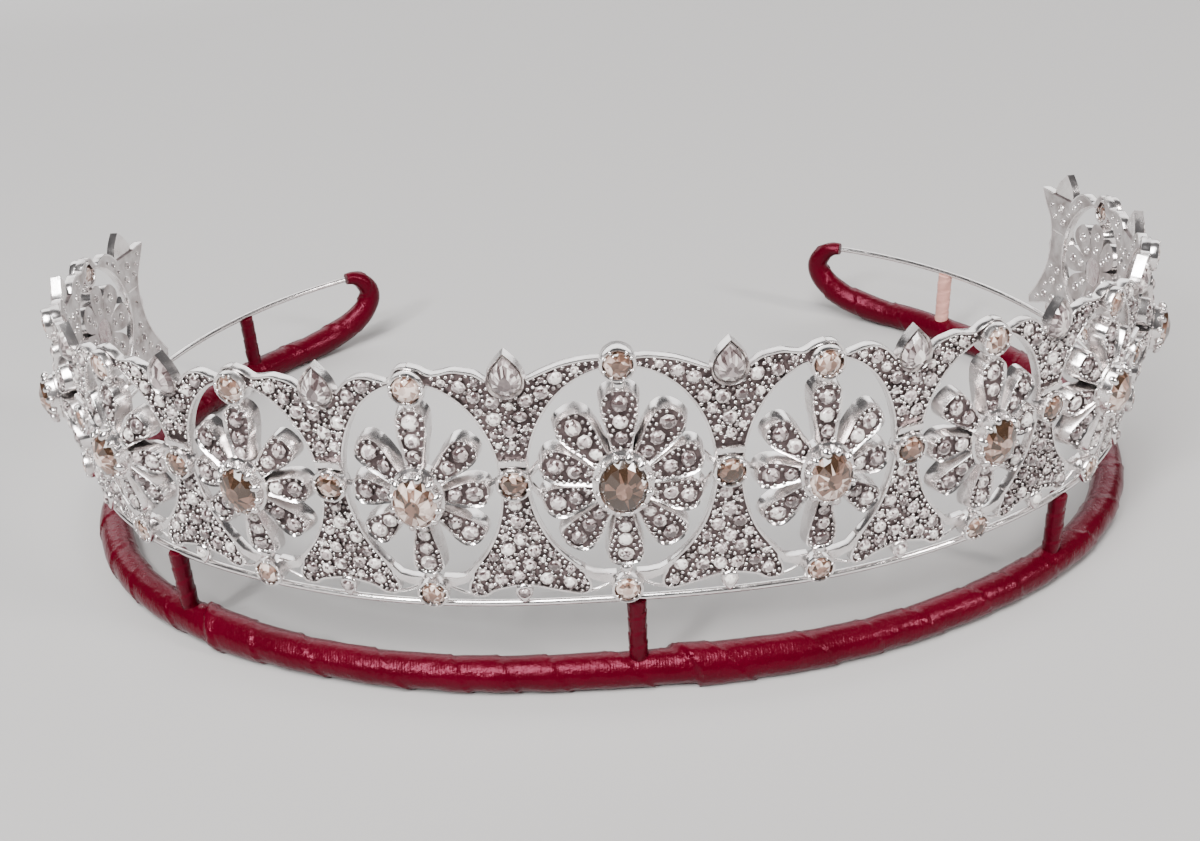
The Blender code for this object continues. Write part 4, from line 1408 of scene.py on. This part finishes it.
def wound_tube(path, radii, turns, step_height, sides, closing, joins=(), seed=1):
    """Ribbon wound round a path in the flat layout, each turn stepping up over the last."""
    path = np.concatenate([path[:1] + closing, path, path[-1:] - closing])
    radii = np.concatenate([[0.0], radii, [0.0]])
    count = len(path)
    work = bmesh.new()
    work.loops.layers.uv.new("winding")
    bmesh.ops.create_grid(work, x_segments=count - 1, y_segments=sides, size=1.0, calc_uvs=True)
    grid = np.array([vertex.co for vertex in work.verts])
    row = np.rint((grid[:, 0] + 1) / 2 * (count - 1)).astype(int)
    angle = (grid[:, 1] + 1) * math.pi - WINDING_START
    run = np.gradient(path, axis=0)
    run /= np.hypot(*run.T)[:, None]
    reach = reach_along(path)
    reach -= reach[-1] / 2
    number = np.interp(reach, turns, np.arange(len(turns)))[row]
    number -= (angle + WINDING_START) / (2 * math.pi)
    number += 0.05 * puckers(reach[row], angle, 6, seed)
    share = number - np.floor(number)
    lift = step_height * (share - 0.75) + 0.35 * step_height * np.sin(math.pi * share)
    lift += 0.07 * puckers(reach[row], angle, 26, seed + 1)
    edge = np.minimum(share, 1 - share)
    crumple = puckers(reach[row] * 5, angle * 3, 9, seed + 2)
    lift += 0.5 * step_height * np.exp(-(edge / 0.05) ** 2) * (1 + crumple)
    for start, length in joins:
        slant = reach[row] - start - 1.9 * np.sin(angle) + 0.5 * puckers(angle * 2, angle, 7, 5)
        lift += 0.5 * np.clip(slant / 0.4, 0, 1) * np.clip((length - slant) / length, 0, 1)
        lift += 0.22 * np.exp(-(slant / 1.2) ** 2) * crumple
    radius = np.where(radii[row] > 0, radii[row] + lift, 0.0)
    across = radius * np.cos(angle)
    places = np.stack([path[row, 0] - run[row, 1] * across, path[row, 1] + run[row, 0] * across,
                       radius * np.sin(angle)], axis=1)
    places[:, 1] = np.maximum(places[:, 1], -BASE_WIRE_HEIGHT)
    for vertex, place in zip(work.verts, places):
        vertex.co = place
    return work


class TIARA_OT_ribbon_band(bpy.types.Operator):
    """Ribbon wound round the base ring and up its hooked tips"""

    bl_idname = "tiara.ribbon_band"
    bl_label = "Ribbon-wrapped band"

    def execute(self, context):
        tip = smooth_path(BAND_TIP)
        rows = even_path([(-x, y, radius) for x, y, radius in tip[::-1]] + tip, BAND_SPACING)
        work = wound_tube(rows[:, :2], rows[:, 2], band_turns(21), ribbon().thickness,
                          BAND_SIDES, (0.01, 0.0), RIBBON_JOINS)
        show_piece("ribbon_band", work, [red_ribbon()], 50, ["wrapped_band"])
        return {"FINISHED"}


class TIARA_OT_ribbon_posts(bpy.types.Operator):
    """Short ribbon-wrapped posts between the band and the base wire"""

    bl_idname = "tiara.ribbon_posts"
    bl_label = "Ribbon-wrapped posts"

    def execute(self, context):
        faded = ribbon_material("faded_ribbon", *FADED_RIBBON)
        low, high = -BAND_DROP + BAND_RADIUS - 0.35, -WIRE_RADIUS + 0.1
        for number, (name, along) in enumerate(POSTS):
            path = even_path([(along, low), (along, high)], POST_SPACING)
            radii, turns = np.full(len(path), POST_RADIUS), np.arange(-8.0, 8.0, POST_TURN)
            work = wound_tube(path, radii, turns, POST_STEP_HEIGHT, POST_SIDES, (0.0, 0.01),
                              seed=30 + number)
            material = faded if name == "post_back_right" else red_ribbon()
            show_piece("ribbon_" + name, work, [material], 50, [name])
        return {"FINISHED"}


# Stage

def pointing(forward, roll=0.0):
    """Rotation of a camera or light that looks along a direction, turned about it."""
    forward = Vector(forward).normalized()
    right = forward.cross(Vector((0.0, 0.0, 1.0))).normalized()
    up = right.cross(forward)
    turned = math.cos(roll) * right + math.sin(roll) * up
    upright = math.cos(roll) * up - math.sin(roll) * right
    return Matrix((turned, upright, -forward)).transposed().to_4x4()


class TIARA_OT_stage(bpy.types.Operator):
    """Pale floor, soft studio lights and the camera of the photograph"""

    bl_idname = "tiara.stage"
    bl_label = "Studio"

    def execute(self, context):
        self.add_floor()
        for name, place, target, size, power, colour in STUDIO_LIGHTS:
            light = adjust(bpy.data.lights.new(name, "AREA"), shape="RECTANGLE", size=size[0],
                           size_y=size[1], energy=power, color=colour)
            aim = pointing(Vector(target) - Vector(place))
            new_object(name, light).matrix_world = shift(*place) @ aim
        sun = adjust(bpy.data.lights.new("soft_daylight", "SUN"), energy=DAYLIGHT_POWER,
                     angle=math.radians(DAYLIGHT_SPREAD))
        new_object("soft_daylight", sun).matrix_world = pointing(DAYLIGHT_DIRECTION)
        world = bpy.data.worlds.new("studio")
        world.use_nodes = True
        tree = world.node_tree
        seen = add_node(tree, "ShaderNodeLightPath").outputs["Is Camera Ray"]
        fill_inputs(tree, tree.nodes["Background"], {
            "Color": WORLD_COLOUR, "Strength": spread(tree, seen, WORLD_LIGHT, WORLD_SEEN)})
        context.scene.world = world
        self.add_camera(context.scene)
        return {"FINISHED"}

    def add_floor(self):
        """Floor painted a little paler where the lights no longer reach it, as painted light."""
        work = bmesh.new()
        bmesh.ops.create_grid(work, x_segments=8, y_segments=8, size=3.0)
        floor = new_object("floor", finished_mesh(work))
        material = bpy.data.materials.new("pale_floor")
        material.use_nodes = True
        tree = material.node_tree
        place = add_node(tree, "ShaderNodeTexCoord").outputs["Object"]
        mottle = math_node(tree, "MULTIPLY", noise(tree, place, 9.0, 3.0), 0.1)
        away = add_node(tree, "ShaderNodeVectorMath", {"Vector": place}, operation="LENGTH")
        reach = math_node(tree, "ADD", away.outputs["Value"], mottle)
        fill_inputs(tree, tree.nodes["Principled BSDF"], {
            "Base Color": ramp(tree, math_node(tree, "MULTIPLY", reach, 0.5), FLOOR_STOPS),
            "Roughness": 0.75})
        floor.data.materials.append(material)
        floor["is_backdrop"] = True

    def add_camera(self, scene):
        item = new_object("camera", adjust(
            bpy.data.cameras.new("camera"), lens=CAMERA_LENS, sensor_width=36.0,
            clip_start=0.001, clip_end=20.0))
        place = Vector((CAMERA_PLACE[0], CAMERA_PLACE[1] + FRONT_Y,
                        CAMERA_PLACE[2] + BASE_WIRE_HEIGHT)) * MM
        yaw, pitch, roll = (math.radians(turn) for turn in CAMERA_TURNS)
        forward = (math.sin(yaw) * math.cos(pitch), math.cos(yaw) * math.cos(pitch),
                   math.sin(pitch))
        item.matrix_world = shift(*place) @ pointing(forward, roll)
        scene.camera = item


class TIARA_PT_panel(bpy.types.Panel):
    """Lists the tiara's pieces and settings"""

    bl_idname = "TIARA_PT_panel"
    bl_label = "Tiara"
    bl_space_type = "VIEW_3D"
    bl_region_type = "UI"
    bl_category = "Tiara"

    def draw(self, context):
        for group in (silver(), stones(), ribbon()):
            box = self.layout.box()
            for name in group.__annotations__:
                box.prop(group, name)
        column = self.layout.column(align=True)
        for operator in PIECES:
            column.operator(operator.bl_idname)


PIECES = (
    TIARA_OT_openwork,
    TIARA_OT_rims,
    TIARA_OT_petals,
    TIARA_OT_pave,
    TIARA_OT_collets,
    TIARA_OT_collet_stones,
    TIARA_OT_centre_settings,
    TIARA_OT_pears,
    TIARA_OT_wires,
    TIARA_OT_ribbon_band,
    TIARA_OT_ribbon_posts,
    TIARA_OT_stage,
)
CLASSES = (TiaraSilver, TiaraStones, TiaraRibbon, *PIECES, TIARA_PT_panel)


def register():
    for item in CLASSES:
        bpy.utils.register_class(item)
    bpy.types.Scene.tiara_silver = bpy.props.PointerProperty(type=TiaraSilver)
    bpy.types.Scene.tiara_stones = bpy.props.PointerProperty(type=TiaraStones)
    bpy.types.Scene.tiara_ribbon = bpy.props.PointerProperty(type=TiaraRibbon)


def unregister():
    del bpy.types.Scene.tiara_ribbon
    del bpy.types.Scene.tiara_stones
    del bpy.types.Scene.tiara_silver
    for item in reversed(CLASSES):
        bpy.utils.unregister_class(item)


def main():
    register()
    bpy.ops.tiara.openwork()
    bpy.ops.tiara.rims()
    bpy.ops.tiara.petals()
    bpy.ops.tiara.pave()
    bpy.ops.tiara.collets()
    bpy.ops.tiara.collet_stones()
    bpy.ops.tiara.centre_settings()
    bpy.ops.tiara.pears()
    bpy.ops.tiara.wires()
    bpy.ops.tiara.ribbon_band()
    bpy.ops.tiara.ribbon_posts()
    bpy.ops.tiara.stage()
    boxes = {"cad": CAD_BOX, "visual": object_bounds()}
    {name: [list(corner) for corner in box] for name, box in boxes.items()}


if __name__ == "__main__":
    main()
